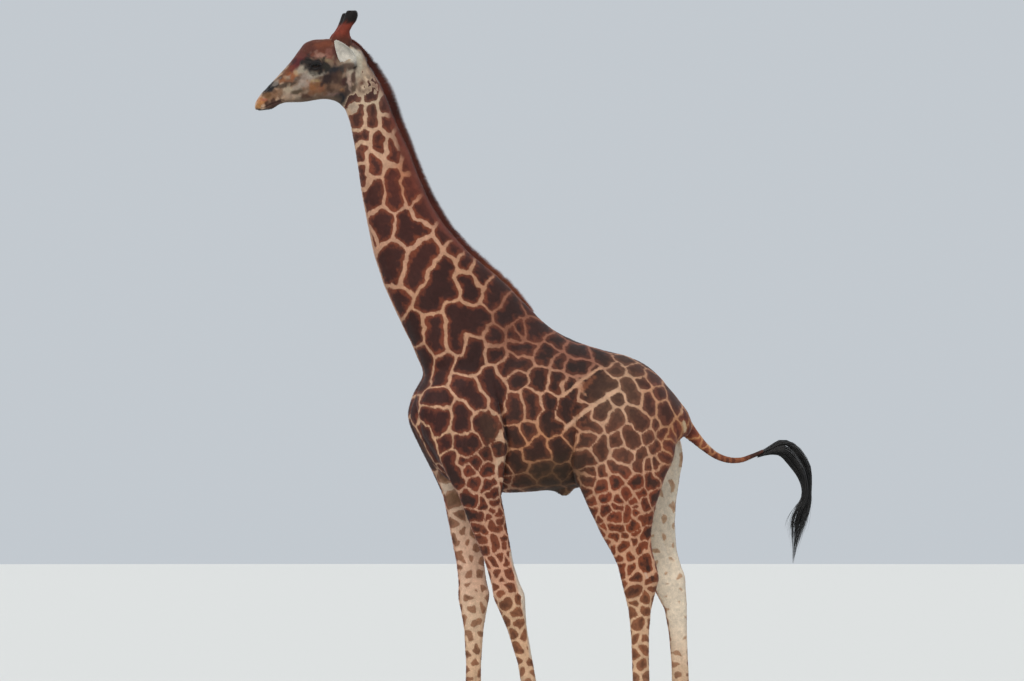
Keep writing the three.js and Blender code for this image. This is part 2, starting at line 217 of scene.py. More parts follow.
def turns(count):
    """Even angles round a circle."""
    return np.linspace(0, 2 * math.pi, count, endpoint=False)


def tube_points(line, across, upright, u, v):
    """Rings round a line: u and v are each point's places along the two axes across the line."""
    return (line[:, None] + across[:, None] * u[..., None] + upright[:, None] * v[..., None]).reshape(-1, 3)


def grid_faces(rows, columns):
    """Quads of a tube of points: rows of rings, each ring closed."""
    row, column = np.meshgrid(np.arange(rows - 1), np.arange(columns), indexing="ij")
    following = (column + 1) % columns
    corners = (row * columns + column, row * columns + following,
               (row + 1) * columns + following, (row + 1) * columns + column)
    return np.stack(corners, axis=-1).reshape(-1, 4)


def tube_triangles(rows, columns):
    """The same tube as triangles, with both ends closed."""
    quads = grid_faces(rows, columns)
    sides = np.concatenate([quads[:, [0, 1, 2]], quads[:, [0, 2, 3]]])
    ring = np.arange(1, columns - 1)
    first = np.stack([np.zeros_like(ring), ring + 1, ring], axis=1)
    last = np.stack([np.zeros_like(ring), ring, ring + 1], axis=1) + (rows - 1) * columns
    return np.concatenate([sides, first, last])


def joined(blocks):
    """Blocks of points and faces as one block."""
    starts = np.cumsum([0] + [len(points) for points, _ in blocks])
    return (np.concatenate([points for points, _ in blocks]),
            np.concatenate([faces + start for (_, faces), start in zip(blocks, starts)]))


def solids(names):
    """The points and triangles of each named node of the CAD model."""
    meshes = [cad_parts[name].data for name in names]
    return [(read_points(mesh), read_triangles(mesh)) for mesh in meshes]


def outward(points, triangles):
    """The triangles, wound so that the closed solid's faces point out."""
    a, b, c = corners_of(points, triangles)
    volume = np.einsum("ij,ij->i", a, np.cross(b, c)).sum()
    return triangles if volume > 0 else triangles[:, ::-1]


def spline(table, count):
    """A table's rows, joined by smooth curves and read at `count` even steps."""
    table = np.asarray(table, float)
    knots = np.arange(len(table))
    at = np.linspace(0, len(table) - 1, count)
    before = np.clip(np.floor(at).astype(int), 0, len(table) - 2)
    t = (at - before)[:, None]
    slope = np.gradient(table, knots, axis=0)
    p0, p1, m0, m1 = table[before], table[before + 1], slope[before], slope[before + 1]
    return (p0 * (1 + 2 * t) * (1 - t) ** 2 + m0 * t * (1 - t) ** 2
            + p1 * t * t * (3 - 2 * t) + m1 * t * t * (t - 1))


def ball(centre, radii, rows=14, columns=24):
    around = turns(columns)
    down = np.linspace(0.02, math.pi - 0.02, rows)[:, None]
    shape = np.stack([np.sin(down) * np.cos(around), np.sin(down) * np.sin(around),
                      np.cos(down) * np.ones(columns)], axis=-1)
    points = (shape * np.asarray(radii) + np.asarray(centre)).reshape(-1, 3)
    return points, outward(points, tube_triangles(rows, columns))


def waver(points, size, seed):
    """A smooth wandering number, mostly from -1 to 1, that changes over about `size`."""
    source = np.random.default_rng(seed)
    total = np.zeros(len(points))
    for _ in range(7):
        along = unit(source.normal(size=3)) * 2 * math.pi / (size * source.uniform(0.8, 2.0))
        total += np.sin(points @ along + source.uniform(0, 2 * math.pi))
    return total / 2.6


def on_side(place, side):
    """A place or a way of the left side, or its mirror image."""
    return np.array(place) * (side, 1, 1)


def facing_out(points, normals):
    """How far the surface at each point faces away from the plane x = 0, from 1 to -1."""
    return normals[:, 0] * np.sign(points[:, 0])


def seen(points):
    """Where the camera sees each point, or its mirror image on the left side: (y, z) on the plane x = 0."""
    origin = np.array(camera_place)
    stretch = origin[0] / (origin[0] - np.abs(points[:, 0]))
    return origin[1:] + (points[:, 1:] - origin[1:]) * stretch[:, None]


def tilted(places, centre, tilt):
    """How far each place lies from a centre along axes that are tilted by so many degrees."""
    angle = math.radians(tilt)
    gap = places - np.array(centre)
    return gap @ (math.cos(angle), math.sin(angle)), gap @ (-math.sin(angle), math.cos(angle))


def from_line(places, line):
    """Each place's distance from a chain of points. It is negative on the right of the chain's way."""
    line = np.asarray(line, float)
    best = np.full(len(places), 9.0)
    for a, b in zip(line[:-1], line[1:]):
        span = b - a
        t = np.clip((places - a) @ span / (span @ span), 0, 1)
        gap = places - a - t[:, None] * span
        distance = np.linalg.norm(gap, axis=1)
        side = np.sign(span[0] * gap[:, 1] - span[1] * gap[:, 0])
        best = np.where(distance < np.abs(best), distance * np.where(side == 0, 1, side), best)
    return best


# ---- The legs' middle lines, from the solids ----


def leg_line(name):
    """A leg's height, y and x along its middle, read from the rings of its solids."""
    nodes = [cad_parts[f"leg_{name}_{part}"] for part in ("upper", "lower")]
    points = np.concatenate([read_points(node.data) for node in nodes])
    heights = np.round(points[:, 2], 3)
    levels = [z for z in np.unique(heights) if z < 1.95 and (heights == z).sum() >= 8]
    rows = []
    for z in levels:
        ring = points[heights == z]
        rows.append((z, (ring[:, 1].min() + ring[:, 1].max()) / 2, (ring[:, 0].min() + ring[:, 0].max()) / 2))
    return np.array(rows)


LEGS = {f"{end}_{side}": leg_line(f"{end}_{side}") for end in ("fore", "hind") for side in SIDES}
LEG_PARTING_Y = 0.22  # what is behind this, below the belly, is a hind leg


def leg_middle(name, z):
    rows = LEGS[name]
    return np.interp(z, rows[:, 0], rows[:, 1]), np.interp(z, rows[:, 0], rows[:, 2])


def leg_place(points):
    """Whether each point's leg is a hind one, and how far the point lies behind the leg's middle."""
    hind = points[:, 1] > LEG_PARTING_Y
    behind = np.zeros(len(points))
    for name in LEGS:
        end, side = name.split("_")
        mine = (hind == (end == "hind")) & (np.sign(points[:, 0]) == SIDES[side])
        behind[mine] = points[mine, 1] - leg_middle(name, points[mine, 2])[0]
    return hind, behind


# ---- The skin's shape ----

VOXEL = 0.011
SMOOTH_ROUNDS = 134
SMOOTH_STEP = 0.5

# How strongly the skin is smoothed at each height: thick parts have wide facets to lose, and thin ones none.
SMOOTH_BY_HEIGHT = [
    (0.112, 0), (0.14, 0.06), (1.0, 0.12), (1.45, 0.25), (1.7, 0.5), (2.1, 1), (2.8, 1), (3.1, 0.6),
    (3.6, 0.3), (4.25, 0.15), (4.95, 0.06),
]
SMOOTH_ALONG_TAIL = [(0.86, 1), (0.94, 0.12), (1.0, 0.04), (1.1, 0.02), (1.3, 0.012)]

EYE_CENTRE = (0.095, -1.524, 4.566)
EYE_RADIUS = 0.033
EYE_LOOKS = (0.96, -0.24, -0.06)
LID_THICK = 0.0045
OPENING = {"half_length": 0.036, "top": 0.0180, "bottom": 0.0170}
EAR_ROOT = ((0.097, -1.288, 4.585), (0.034, 0.032, 0.042))

HEAD_FLOOR = 4.15  # the head lies above this
TAIL_FLOOR = 1.85  # and the tail above this, behind the rump
HEAD_CUT = {"at": (-1.268, 4.520), "along": (-0.957, 0.29)}  # the plane behind the ears and the jaw's angle


def past_head_cut(points):
    """How far each point lies on the head's side of the plane behind the ears."""
    return (points[:, 1:] - np.array(HEAD_CUT["at"])) @ np.array(HEAD_CUT["along"])


def table_at(values, table):
    rows = np.array(table)
    return np.interp(values, rows[:, 0], rows[:, 1])


def fused_flesh():
    """All nodes of flesh as one closed mesh of even quads."""
    names = [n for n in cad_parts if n.startswith(("head", "neck_", "trunk", "leg_")) or n == "tail"]
    blocks = solids(names)
    for side in SIDES.values():
        for centre, radii in ((EYE_CENTRE, (EYE_RADIUS,) * 3), EAR_ROOT):
            blocks.append(ball(on_side(centre, side), radii))
    block = new_object("flesh", *joined(blocks))
    remesh = block.modifiers.new("remesh", "REMESH")
    remesh.mode = "VOXEL"
    remesh.voxel_size = VOXEL
    remesh.adaptivity = 0
    fused = bpy.data.meshes.new_from_object(block.evaluated_get(bpy.context.evaluated_depsgraph_get()))
    bpy.data.objects.remove(block)
    return names, fused


def smoothed(values, edges, weight, rounds):
    """Each value drawn towards its neighbours' mean, many times."""
    first, second = edges.T
    count = len(values)
    degree = np.bincount(edges.ravel(), minlength=count)
    values = values.copy()
    step = SMOOTH_STEP * weight
    for _ in range(rounds):
        for axis in range(values.shape[1]):
            column = values[:, axis]
            total = np.bincount(first, column[second], count) + np.bincount(second, column[first], count)
            values[:, axis] = column + step * (total / degree - column)
    return values


def smooth_keeping_size(points, edges, weight, rounds):
    soft = smoothed(points, edges, weight, rounds)
    return soft + smoothed(points - soft, edges, weight, rounds)


def refine(mesh, wanted):
    """Cuts the faces around the wanted points in four."""
    bm = bmesh.new()
    bm.from_mesh(mesh)
    bm.verts.ensure_lookup_table()
    chosen = set(np.nonzero(wanted)[0].tolist())
    faces = [f for f in bm.faces if any(v.index in chosen for v in f.verts)]
    edges = list({e for f in faces for e in f.edges})
    bmesh.ops.subdivide_edges(bm, edges=edges, cuts=1, use_grid_fill=True)
    bm.to_mesh(mesh)
    bm.free()


def edges_of(mesh):
    return read(mesh.edges, "vertices", 2, np.int32)


def skin_mesh():
    names, mesh = fused_flesh()
    points = read_points(mesh)
    weight = table_at(points[:, 2], SMOOTH_BY_HEIGHT)
    weight *= np.where(points[:, 1] > 0.9, table_at(points[:, 1], SMOOTH_ALONG_TAIL), 1)
    points = smooth_keeping_size(points, edges_of(mesh), weight, SMOOTH_ROUNDS)
    write_points(mesh, points)

    head = (past_head_cut(points) > -0.03) & (points[:, 2] > 4.2)
    tail = (points[:, 1] > 1.03) & (points[:, 2] > TAIL_FLOOR)
    places = seen(points)
    folds = np.min([np.abs(from_line(places, line)) for line, *_ in BODY_FOLDS], axis=0) < 0.03
    folds &= (np.abs(points[:, 0]) > 0.12) & (points[:, 2] > 1.60) & (points[:, 2] < 2.60)
    refine(mesh, head | tail | folds)
    for reach, muzzle in ((0.085, -1.745), (0.058, None)):
        points = read_points(mesh)
        eye = np.linalg.norm(points * np.where(points[:, :1] < 0, (-1, 1, 1), 1) - EYE_CENTRE, axis=1) < reach
        nose = (points[:, 1] < muzzle) & (points[:, 2] > 4.2) if muzzle else np.zeros(len(points), bool)
        refine(mesh, eye | nose)
    points = read_points(mesh)
    fine = (past_head_cut(points) > -0.02) & (points[:, 2] > 4.2)
    fine |= (points[:, 1] > 1.05) & (points[:, 2] > TAIL_FLOOR)
    points = smooth_keeping_size(points, edges_of(mesh), 0.6 * fine, 14)
    write_points(mesh, points)
    return names, mesh


# ---- Sculpting: heights along the normals, in metres ----


def swell(places, centre, radii, height):
    return height * np.exp(-(((places - np.array(centre)) / np.array(radii)) ** 2).sum(axis=1))


def crease(places, line, width, depth):
    """A groove along a line, or a ridge if the depth is negative."""
    return -depth * bell(from_line(places, line), 0, width)


def relief(places, swells, creases):
    """The heights of a table of swells and a table of creases, added up."""
    height = np.zeros(len(places))
    for centre, radii, rise in swells:
        height += swell(places, centre, radii, rise)
    for line, width, depth in creases:
        height += crease(places, line, width, depth)
    return height


def fold(places, line, height, width, reach):
    """A fold's edge: raised on the left of the line's way and sunk on its right, or the reverse if the height
    is negative, fading over `reach`, with a groove at its foot."""
    away = from_line(places, line) * np.sign(height)
    edge = abs(height) * np.tanh(away / width) * np.exp(-np.abs(away) / reach)
    return edge - 0.5 * abs(height) * bell(away, -width, 1.6 * width)


BODY_SWELLS = [  # place in the side view, radii, height
    ((-0.66, 2.29), (0.10, 0.10), 0.014),  # point of the shoulder
    ((-0.37, 2.18), (0.13, 0.20), 0.012),  # triceps
    ((-0.60, 2.05), (0.10, 0.14), 0.006),
    ((-0.21, 1.87), (0.05, 0.05), 0.010),  # elbow
    ((-0.40, 2.62), (0.13, 0.16), 0.006),  # shoulder blade
    ((0.56, 2.53), (0.06, 0.05), 0.014),  # point of the hip
    ((0.47, 2.42), (0.09, 0.14), -0.014),  # flank hollow
    ((0.36, 2.20), (0.07, 0.12), -0.008),
    ((0.66, 2.12), (0.17, 0.22), 0.010),  # thigh
    ((0.93, 2.28), (0.05, 0.06), 0.008),  # pin bone
    ((0.38, 1.80), (0.07, 0.08), 0.010),  # stifle
    ((-0.02, 2.02), (0.22, 0.16), 0.006),
]
BODY_CREASES = [  # line in the side view, width, depth
    ([(-0.18, 2.88), (-0.34, 2.66), (-0.52, 2.42)], 0.030, -0.006),  # spine of the shoulder blade
    ([(-0.09, 2.80), (-0.17, 2.55), (-0.22, 2.34)], 0.035, 0.008),  # behind the shoulder blade
    ([(-0.64, 2.55), (-0.56, 2.32), (-0.55, 2.12), (-0.50, 1.93)], 0.028, 0.006),  # before the triceps
    ([(-0.30, 2.24), (-0.42, 2.06), (-0.46, 1.90)], 0.030, 0.004),
    ([(0.83, 2.36), (0.86, 2.12), (0.82, 1.88), (0.77, 1.70)], 0.024, 0.007),  # behind the thigh's muscle
    ([(0.62, 2.42), (0.54, 2.25), (0.50, 2.02), (0.50, 1.85)], 0.040, 0.004),
    ([(0.10, 2.44), (0.30, 2.27), (0.42, 2.16)], 0.050, 0.004),
]
BODY_FOLDS = [  # line in the side view, height, width, reach
    # behind the triceps, before the shoulder, and before the thigh
    ([(-0.235, 1.76), (-0.223, 1.864), (-0.199, 2.039), (-0.255, 2.29)], 0.033, 0.008, 0.065),
    ([(-0.804, 2.53), (-0.824, 2.313), (-0.776, 2.091), (-0.639, 1.876), (-0.56, 1.72)], 0.013, 0.007, 0.045),
    ([(0.285, 1.70), (0.264, 1.865), (0.284, 2.068), (0.305, 2.22)], -0.020, 0.007, 0.060),
]
RIB_TOP = (0.10, 2.66)


def sculpt_body(points, normals):
    places = seen(points)
    height = relief(places, BODY_SWELLS, BODY_CREASES)
    for line, rise, width, reach in BODY_FOLDS:
        height += fold(places, line, rise, width, reach)
    barrel = swell(places, (0.07, 2.28), (0.24, 0.30), 1.0)
    slant = places[:, 0] - 0.22 * (RIB_TOP[1] - places[:, 1])
    height += 0.0016 * barrel * np.cos(2 * math.pi * slant / 0.062)
    outer = np.clip(facing_out(points, normals) * 1.8, 0, 1)
    trunk = smoothstep(1.60, 1.75, points[:, 2]) * smoothstep(0.06, -0.04, past_neck(points))
    buttock = smoothstep(0.2, 0.8, normals[:, 1]) * smoothstep(0.80, 0.88, points[:, 1])
    buttock *= bell(points[:, 2], 1.99, 0.13) * smoothstep(0.03, 0.09, np.abs(points[:, 0]))
    under_tail = smoothstep(0.1, 0.6, -normals[:, 2])
    under_tail *= np.exp(-(((points[:, 1] - 1.04) / 0.05) ** 2) - ((points[:, 2] - 2.05) / 0.05) ** 2)
    sheath = smoothstep(0.2, 0.8, -normals[:, 2]) * (points[:, 2] < 1.95)
    sheath *= np.exp(-(((points[:, 1] - 0.21) / 0.055) ** 2) - (points[:, 0] / 0.07) ** 2)
    return height * outer * trunk + 0.026 * buttock + 0.022 * sheath - 0.030 * under_tail


NECK_FOOT = {"at": (-0.46, 2.80), "along": (-0.32, 0.947)}


def past_neck(points):
    """How far each point lies up the neck from its foot."""
    return (points[:, 1:] - np.array(NECK_FOOT["at"])) @ np.array(NECK_FOOT["along"])


NECK_CREASES = [
    ([(-1.29, 4.36), (-1.215, 3.95), (-1.15, 3.55), (-1.02, 3.12), (-0.87, 2.75), (-0.78, 2.48)],
     0.032, 0.007),
    ([(-1.06, 4.26), (-0.93, 3.95), (-0.78, 3.55), (-0.56, 3.22), (-0.25, 2.95)], 0.040, 0.005),
    ([(-1.12, 4.10), (-1.03, 3.70), (-0.93, 3.36), (-0.74, 3.02)], 0.036, -0.004),
]
NECK_BONES = [(-1.13, 4.16), (-1.06, 3.86), (-0.98, 3.56), (-0.88, 3.28), (-0.74, 3.02)]


def sculpt_neck(points, normals):
    places = seen(points)
    height = sum(crease(places, line, width, depth) for line, width, depth in NECK_CREASES)
    height += sum(swell(places, bone, (0.05, 0.08), 0.004) for bone in NECK_BONES)
    outer = np.clip(facing_out(points, normals) * 1.8, 0, 1)
    neck = smoothstep(-0.05, 0.10, past_neck(points)) * smoothstep(0.03, -0.03, past_head_cut(points))
    return height * outer * neck


def sculpt_chest(points, normals):
    """The furrow between the shoulders, and the brisket below it."""
    ahead = smoothstep(0.35, 0.8, -normals[:, 1]) * smoothstep(1.80, 1.95, points[:, 2])
    ahead *= smoothstep(2.55, 2.40, points[:, 2])
    return -0.020 * ahead * bell(points[:, 0], 0, 0.030)


LEG_RELIEF = {  # whether it is only on a leg's two sides, what it is, and its shape behind the middle and up
    "fore": [
        (False, swell, (0.095, 1.035), (0.035, 0.045), 0.010),  # bone at the back of the knee
        (False, swell, (-0.075, 1.01), (0.05, 0.05), 0.006),
        (True, swell, (0.0, 1.06), (0.05, 0.03), 0.005),
        (True, swell, (0.0, 0.94), (0.05, 0.03), 0.004),
        (True, crease, [(0.020, 0.86), (0.016, 0.60), (0.020, 0.28)], 0.011, 0.005),  # before the tendons
        (True, crease, [(-0.02, 1.60), (-0.01, 1.35), (0.015, 1.12)], 0.022, 0.005),
        (True, crease, [(0.06, 1.66), (0.05, 1.40), (0.04, 1.15)], 0.020, 0.005),
    ],
    "hind": [
        (False, swell, (0.12, 1.150), (0.035, 0.045), 0.008),  # point of the hock
        (True, crease, [(0.055, 1.44), (0.068, 1.30), (0.062, 1.17)], 0.017, 0.009),  # before the tendon
        (True, crease, [(0.020, 0.92), (0.016, 0.60), (0.020, 0.28)], 0.012, 0.005),
        (True, swell, (-0.02, 1.11), (0.05, 0.05), 0.006),
        (True, crease, [(-0.06, 1.62), (-0.05, 1.45), (-0.02, 1.28)], 0.025, 0.005),
    ],
    "both": [
        (True, swell, (0.0, 0.205), (0.06, 0.03), 0.004),
        (False, swell, (0.07, 0.215), (0.03, 0.03), 0.007),
        (False, crease, [(-0.10, 0.152), (0.09, 0.160)], 0.010, 0.004),  # the bend of the pastern
    ],
}


def sculpt_legs(points, normals):
    hind, behind = leg_place(points)
    z = points[:, 2]
    side = np.clip(np.abs(normals[:, 0]) * 1.6, 0, 1)
    place = np.stack([behind, z], axis=1)
    fore, back, both = (
        sum(kind(place, *shape) * (side if sideways else 1) for sideways, kind, *shape in LEG_RELIEF[part])
        for part in ("fore", "hind", "both"))
    height = np.where(hind, back, fore) + both
    return height * smoothstep(1.75, 1.60, z) * smoothstep(0.105, 0.13, z)


HEAD_SWELLS = [
    ((-1.535, 4.622), (0.060, 0.014), 0.0075),  # ridge of the brow
    ((-1.45, 4.425), (0.085, 0.070), 0.008),  # cheek
    ((-1.60, 4.50), (0.050, 0.022), 0.005),  # cheekbone before the eye
    ((-1.43, 4.512), (0.070, 0.016), 0.005),  # and behind it
    ((-1.71, 4.425), (0.075, 0.035), -0.006),  # hollow between cheek and nose
    ((-1.425, 4.655), (0.045, 0.045), -0.007),  # temple
    ((-1.63, 4.575), (0.030, 0.030), -0.004),
    ((-1.885, 4.325), (0.022, 0.028), 0.004),  # upper lip
    ((-1.845, 4.372), (0.022, 0.018), 0.004),
    ((-1.36, 4.40), (0.035, 0.060), 0.005),  # angle of the jaw
    ((-1.82, 4.285), (0.045, 0.012), 0.003),  # lower lip
]
HEAD_CREASES = [
    ([(-1.915, 4.262), (-1.881, 4.275), (-1.841, 4.294), (-1.80, 4.313), (-1.757, 4.330), (-1.735, 4.332)],
     0.0035, 0.0075),  # the mouth
    ([(-1.66, 4.488), (-1.57, 4.475), (-1.47, 4.487)], 0.014, 0.004),  # below the cheekbone
    ([(-1.345, 4.30), (-1.305, 4.42), (-1.28, 4.55)], 0.016, 0.007),  # between jaw and neck
    ([(-1.60, 4.612), (-1.54, 4.606), (-1.475, 4.598)], 0.006, 0.003),  # above the upper lid
    ([(-1.60, 4.530), (-1.545, 4.515), (-1.49, 4.520)], 0.005, 0.0025),  # below the lower lid
    ([(-1.58, 4.515), (-1.53, 4.502), (-1.48, 4.508)], 0.005, 0.0015),
    ([(-1.765, 4.36), (-1.745, 4.335), (-1.745, 4.30)], 0.006, 0.0025),  # behind the mouth's corner
    ([(-1.73, 4.375), (-1.712, 4.345), (-1.715, 4.31)], 0.006, 0.0015),
    ([(-1.845, 4.352), (-1.80, 4.372), (-1.755, 4.40)], 0.008, 0.002),
]
NOSTRIL = {"at": (-1.842, 4.411), "half_length": 0.027, "half_height": 0.0085, "tilt": 42, "deep": 0.017}
JAW_CLEFT_Z = 4.36


def in_nostril(places):
    """Below 1 inside the nostril's outline, with its back end curling down."""
    along, across = tilted(places, NOSTRIL["at"], NOSTRIL["tilt"])
    return np.hypot(along / NOSTRIL["half_length"], (across + 5.0 * along**2) / NOSTRIL["half_height"])


def sculpt_head(points, normals):
    places = seen(points)
    height = relief(places, HEAD_SWELLS, HEAD_CREASES)
    nostril = in_nostril(places)
    height += 0.0035 * bell(nostril, 1.45, 0.35)
    height -= NOSTRIL["deep"] * smoothstep(1.15, 0.75, nostril)
    outer = np.clip(facing_out(points, normals) * 2.2, 0, 1)
    height *= outer
    front = smoothstep(1.86, 1.90, -points[:, 1])  # round the lips the mouth's line runs from side to side
    mouth = crease(points[:, 1:], [(-1.99, 4.262), (-1.90, 4.268)], 0.0035, 0.007)
    height += front * (1 - outer) * mouth
    under = smoothstep(0.5, 0.9, -normals[:, 2]) * smoothstep(1.40, 1.46, -points[:, 1])
    height -= 0.006 * under * bell(points[:, 0], 0, 0.022) * (points[:, 2] < JAW_CLEFT_Z)
    return height * smoothstep(-0.01, 0.03, past_head_cut(points)) * (points[:, 2] > HEAD_FLOOR)


def eye_frame(side):
    """The eye's centre and its axes: the way it looks, the way to its front corner, and up."""
    centre = on_side(EYE_CENTRE, side)
    looks = unit(on_side(EYE_LOOKS, side))
    ahead = np.array((0.0, -1.0, -0.12))
    ahead = unit(ahead - looks * (ahead @ looks))
    up = np.cross(looks, ahead) * side
    up = up if up[2] > 0 else -up
    return centre, looks, ahead, up


def lid_distance(points, side):
    """How far each point lies outside the edge of the lids, measured round the eyeball, and below 0 between
    them."""
    centre, looks, ahead, up = eye_frame(side)
    offset = points - centre
    out = offset @ looks
    along = np.arctan2(offset @ ahead, np.maximum(out, 1e-6)) * EYE_RADIUS
    rise = np.arctan2(offset @ up, np.maximum(out, 1e-6)) * EYE_RADIUS
    limit = np.where(rise > 0, OPENING["top"], OPENING["bottom"])
    shape = np.hypot(along / OPENING["half_length"], rise / limit)
    return np.where(out > 0, (shape - 1) * limit, 1.0)


def open_eyes(points):
    """Lays the lids round the eyeballs and sinks the skin behind what shows of them."""
    points = points.copy()
    for side in SIDES.values():
        centre = on_side(EYE_CENTRE, side)
        offset = points - centre
        distance = np.linalg.norm(offset, axis=1)
        mine = distance < 0.075
        away = lid_distance(points[mine], side)
        reach = distance[mine]
        lid = EYE_RADIUS + LID_THICK * (1 + 0.25 * bell(away, 0.0022, 0.0018))
        lid -= 0.0022 * bell(away, 0.0095, 0.0022)
        outside = lid + (np.maximum(reach, EYE_RADIUS + 0.002) - lid) * smoothstep(0.006, 0.020, away)
        inside = EYE_RADIUS - 0.009
        target = inside + (outside - inside) * smoothstep(-0.0012, 0.0008, away)
        fade = smoothstep(0.075, 0.062, reach)
        target = reach + (target - reach) * fade
        points[mine] = centre + offset[mine] / reach[:, None] * target[:, None]
    return points


# The tail's middle line and its radius without the coat: y, z, radius.
TAIL_LINE = [
    (0.985, 2.222, 0.0600), (1.045, 2.152, 0.0520), (1.098, 2.098, 0.0400), (1.168, 2.030, 0.0290),
    (1.250, 1.969, 0.0225), (1.338, 1.937, 0.0195), (1.428, 1.936, 0.0165), (1.510, 1.964, 0.0140),
    (1.588, 1.997, 0.0120),
]
TAIL_ROUND_FROM = 1.10
TAIL_WHOLLY_ROUND = 1.19


def round_tail(points, normals):
    """Draws the tail onto a smooth tube, as voxels nearly as wide as the tail leave it stepped, and fills its
    root out to the tube."""
    line = spline(TAIL_LINE, 400)
    middle = np.stack([np.zeros(len(line)), line[:, 0], line[:, 1]], axis=1)
    mine = np.nonzero((points[:, 1] > 0.95) & (points[:, 2] > TAIL_FLOOR) & (np.abs(points[:, 0]) < 0.09))[0]
    nearest = np.linalg.norm(points[mine, None] - middle, axis=2).argmin(axis=1)
    offset = points[mine] - middle[nearest]
    away = np.linalg.norm(offset, axis=1)
    radius = line[nearest, 2]
    facing_out = (offset * normals[mine]).sum(axis=1) > 0
    filled = np.where(facing_out, np.maximum(away, radius), away)
    share = smoothstep(TAIL_ROUND_FROM, TAIL_WHOLLY_ROUND, points[mine, 1])
    points[mine] = middle[nearest] + unit(offset) * (filled + (radius - filled) * share)[:, None]
    return points


COAT_DEPTH_BY_HEIGHT = [
    (0.1, 0.002), (1.2, 0.0025), (1.9, 0.004), (3.4, 0.004), (4.2, 0.003), (4.35, 0.0015),
]


def make_skin():
    """The skin's names of replaced nodes, its object, and its points, normals and triangles."""
    names, mesh = skin_mesh()
    points = read_points(mesh)
    triangles = read_triangles(mesh)
    normals = normals_of(points, triangles)
    height = sculpt_body(points, normals) + sculpt_neck(points, normals) + sculpt_chest(points, normals)
    height += sculpt_legs(points, normals) + sculpt_head(points, normals)
    height -= table_at(points[:, 2], COAT_DEPTH_BY_HEIGHT)
    height += 0.0012 * waver(points, 0.11, 3) * smoothstep(1.2, 1.8, points[:, 2]) * (points[:, 2] < 3.2)
    points = round_tail(open_eyes(points + normals * height[:, None]), normals)
    wide = np.abs(points[:, 0])
    wide = np.where(wide > 0.340, 0.340 + 0.022 * np.tanh((wide - 0.340) / 0.022), wide)
    points[:, 0] = wide * np.sign(points[:, 0])
    write_points(mesh, points)
    mesh.update()
    mesh.shade_smooth()
    mesh.name = "skin"
    skin = add_object("skin", mesh)
    return names, skin, points, normals_of(points, triangles), triangles


# ---- Markings ----

# Patches of the left side, as read: each entry is one patch, as one or more (y, z) in centimetres.
NECK_PATCHES = [
    [(-116.5, 444), (-115, 438)], [(-121.5, 447)], [(-129, 435), (-124, 436.5)],
    [(-120.5, 428), (-122.5, 420)], [(-112, 427.5), (-113, 419)], [(-104.5, 430.5)], [(-103.5, 419.5)],
    [(-96.5, 421)], [(-122, 409.5), (-118, 411)], [(-108, 409.5), (-107.5, 402)],
    [(-98.5, 404), (-97.5, 397.5)], [(-92.5, 408)], [(-119, 402.5), (-121, 396)],
    [(-112, 395), (-111.5, 389.5)], [(-119.5, 388.5), (-119, 382)], [(-98, 385), (-98, 376), (-96.5, 368)],
    [(-87.5, 380), (-86, 370)], [(-111, 375), (-112, 368), (-117, 368)], [(-80, 364), (-76.5, 358)],
    [(-88, 391)], [(-105, 355), (-109, 350), (-105, 346)], [(-91, 355), (-90, 344), (-79, 349)],
    [(-98, 333), (-104, 326), (-97, 319)], [(-113, 342)],
    [(-72, 335), (-79, 328), (-84, 319), (-84.5, 313)],
    [(-61, 325), (-66, 315), (-74, 305), (-74, 297), (-61, 309)], [(-48, 313), (-45, 306)],
    [(-48.5, 326.5)], [(-40, 320.5), (-36, 317)], [(-28, 311), (-30, 302)], [(-63, 342.5)], [(-56.5, 335)],
    [(-93, 302), (-94, 296)],
    [(-55, 292), (-47, 290), (-38, 290), (-43, 289), (-41, 283), (-55, 280), (-56, 271)],
    [(-22, 289), (-17, 296)], [(-13, 305)], [(-85.5, 287), (-82, 278)],
    [(-70.5, 285), (-69.5, 277), (-67.5, 269)],
]
SHOULDER_PATCHES = [
    [(-43, 269), (-42, 260), (-50, 257)], [(-29, 277)], [(-28, 264)], [(-13.5, 279)],
    [(-31, 249), (-29, 241), (-26, 233)], [(-53, 245), (-46, 240), (-41, 233)], [(-52, 226), (-52, 217)],
    [(-76, 263), (-75.5, 254), (-76, 246)], [(-63, 259), (-66, 248)], [(-71, 234), (-64, 234.5)],
    [(-74, 223), (-65, 222), (-68, 215)], [(-63, 204)], [(-76, 212), (-72, 203), (-68.5, 196)],
    [(-85, 226)], [(-84, 214), (-79, 203), (-74, 196)], [(-36, 219), (-33, 209)],
    [(-52, 204), (-43, 204), (-49, 198)], [(-50, 192), (-43, 192)], [(-47, 187)], [(-34, 196.5)],
    [(-26.5, 200)], [(-33, 186.5)], [(-58, 194), (-55, 186), (-54, 178)], [(-42, 177)], [(-33, 176)],
]
BARREL_PATCHES = [
    [(-12.5, 280)], [(-1, 279), (4, 281)], [(-12, 268), (-5, 268)], [(-16, 259), (-8, 259), (-20, 255)],
    [(-13.5, 247)], [(4, 263), (9, 266)], [(16, 260)], [(2, 252), (2, 245)], [(15, 248), (13, 243)],
    [(13, 274)], [(27, 267), (34, 266)], [(25, 257), (33, 257)],
    [(23, 244), (28, 238), (22, 230), (20, 222), (31, 227)],
    [(42, 252), (36, 246), (33, 238), (45, 246), (43, 237.7), (50.5, 244)], [(43, 265), (48, 261)],
    [(56, 255)], [(-15, 231), (-14.5, 225)], [(-3, 234), (-2, 225)],
    [(9, 232), (8, 222), (8, 214), (15, 217)], [(-4, 213)], [(-14, 209)], [(2, 204), (-3, 197), (4, 197)],
    [(15, 204), (17, 198)], [(24, 210)], [(-14, 193), (-10, 188)], [(-8, 180)], [(0, 186), (6, 187.5)],
    [(17, 184)], [(10, 180)],
]
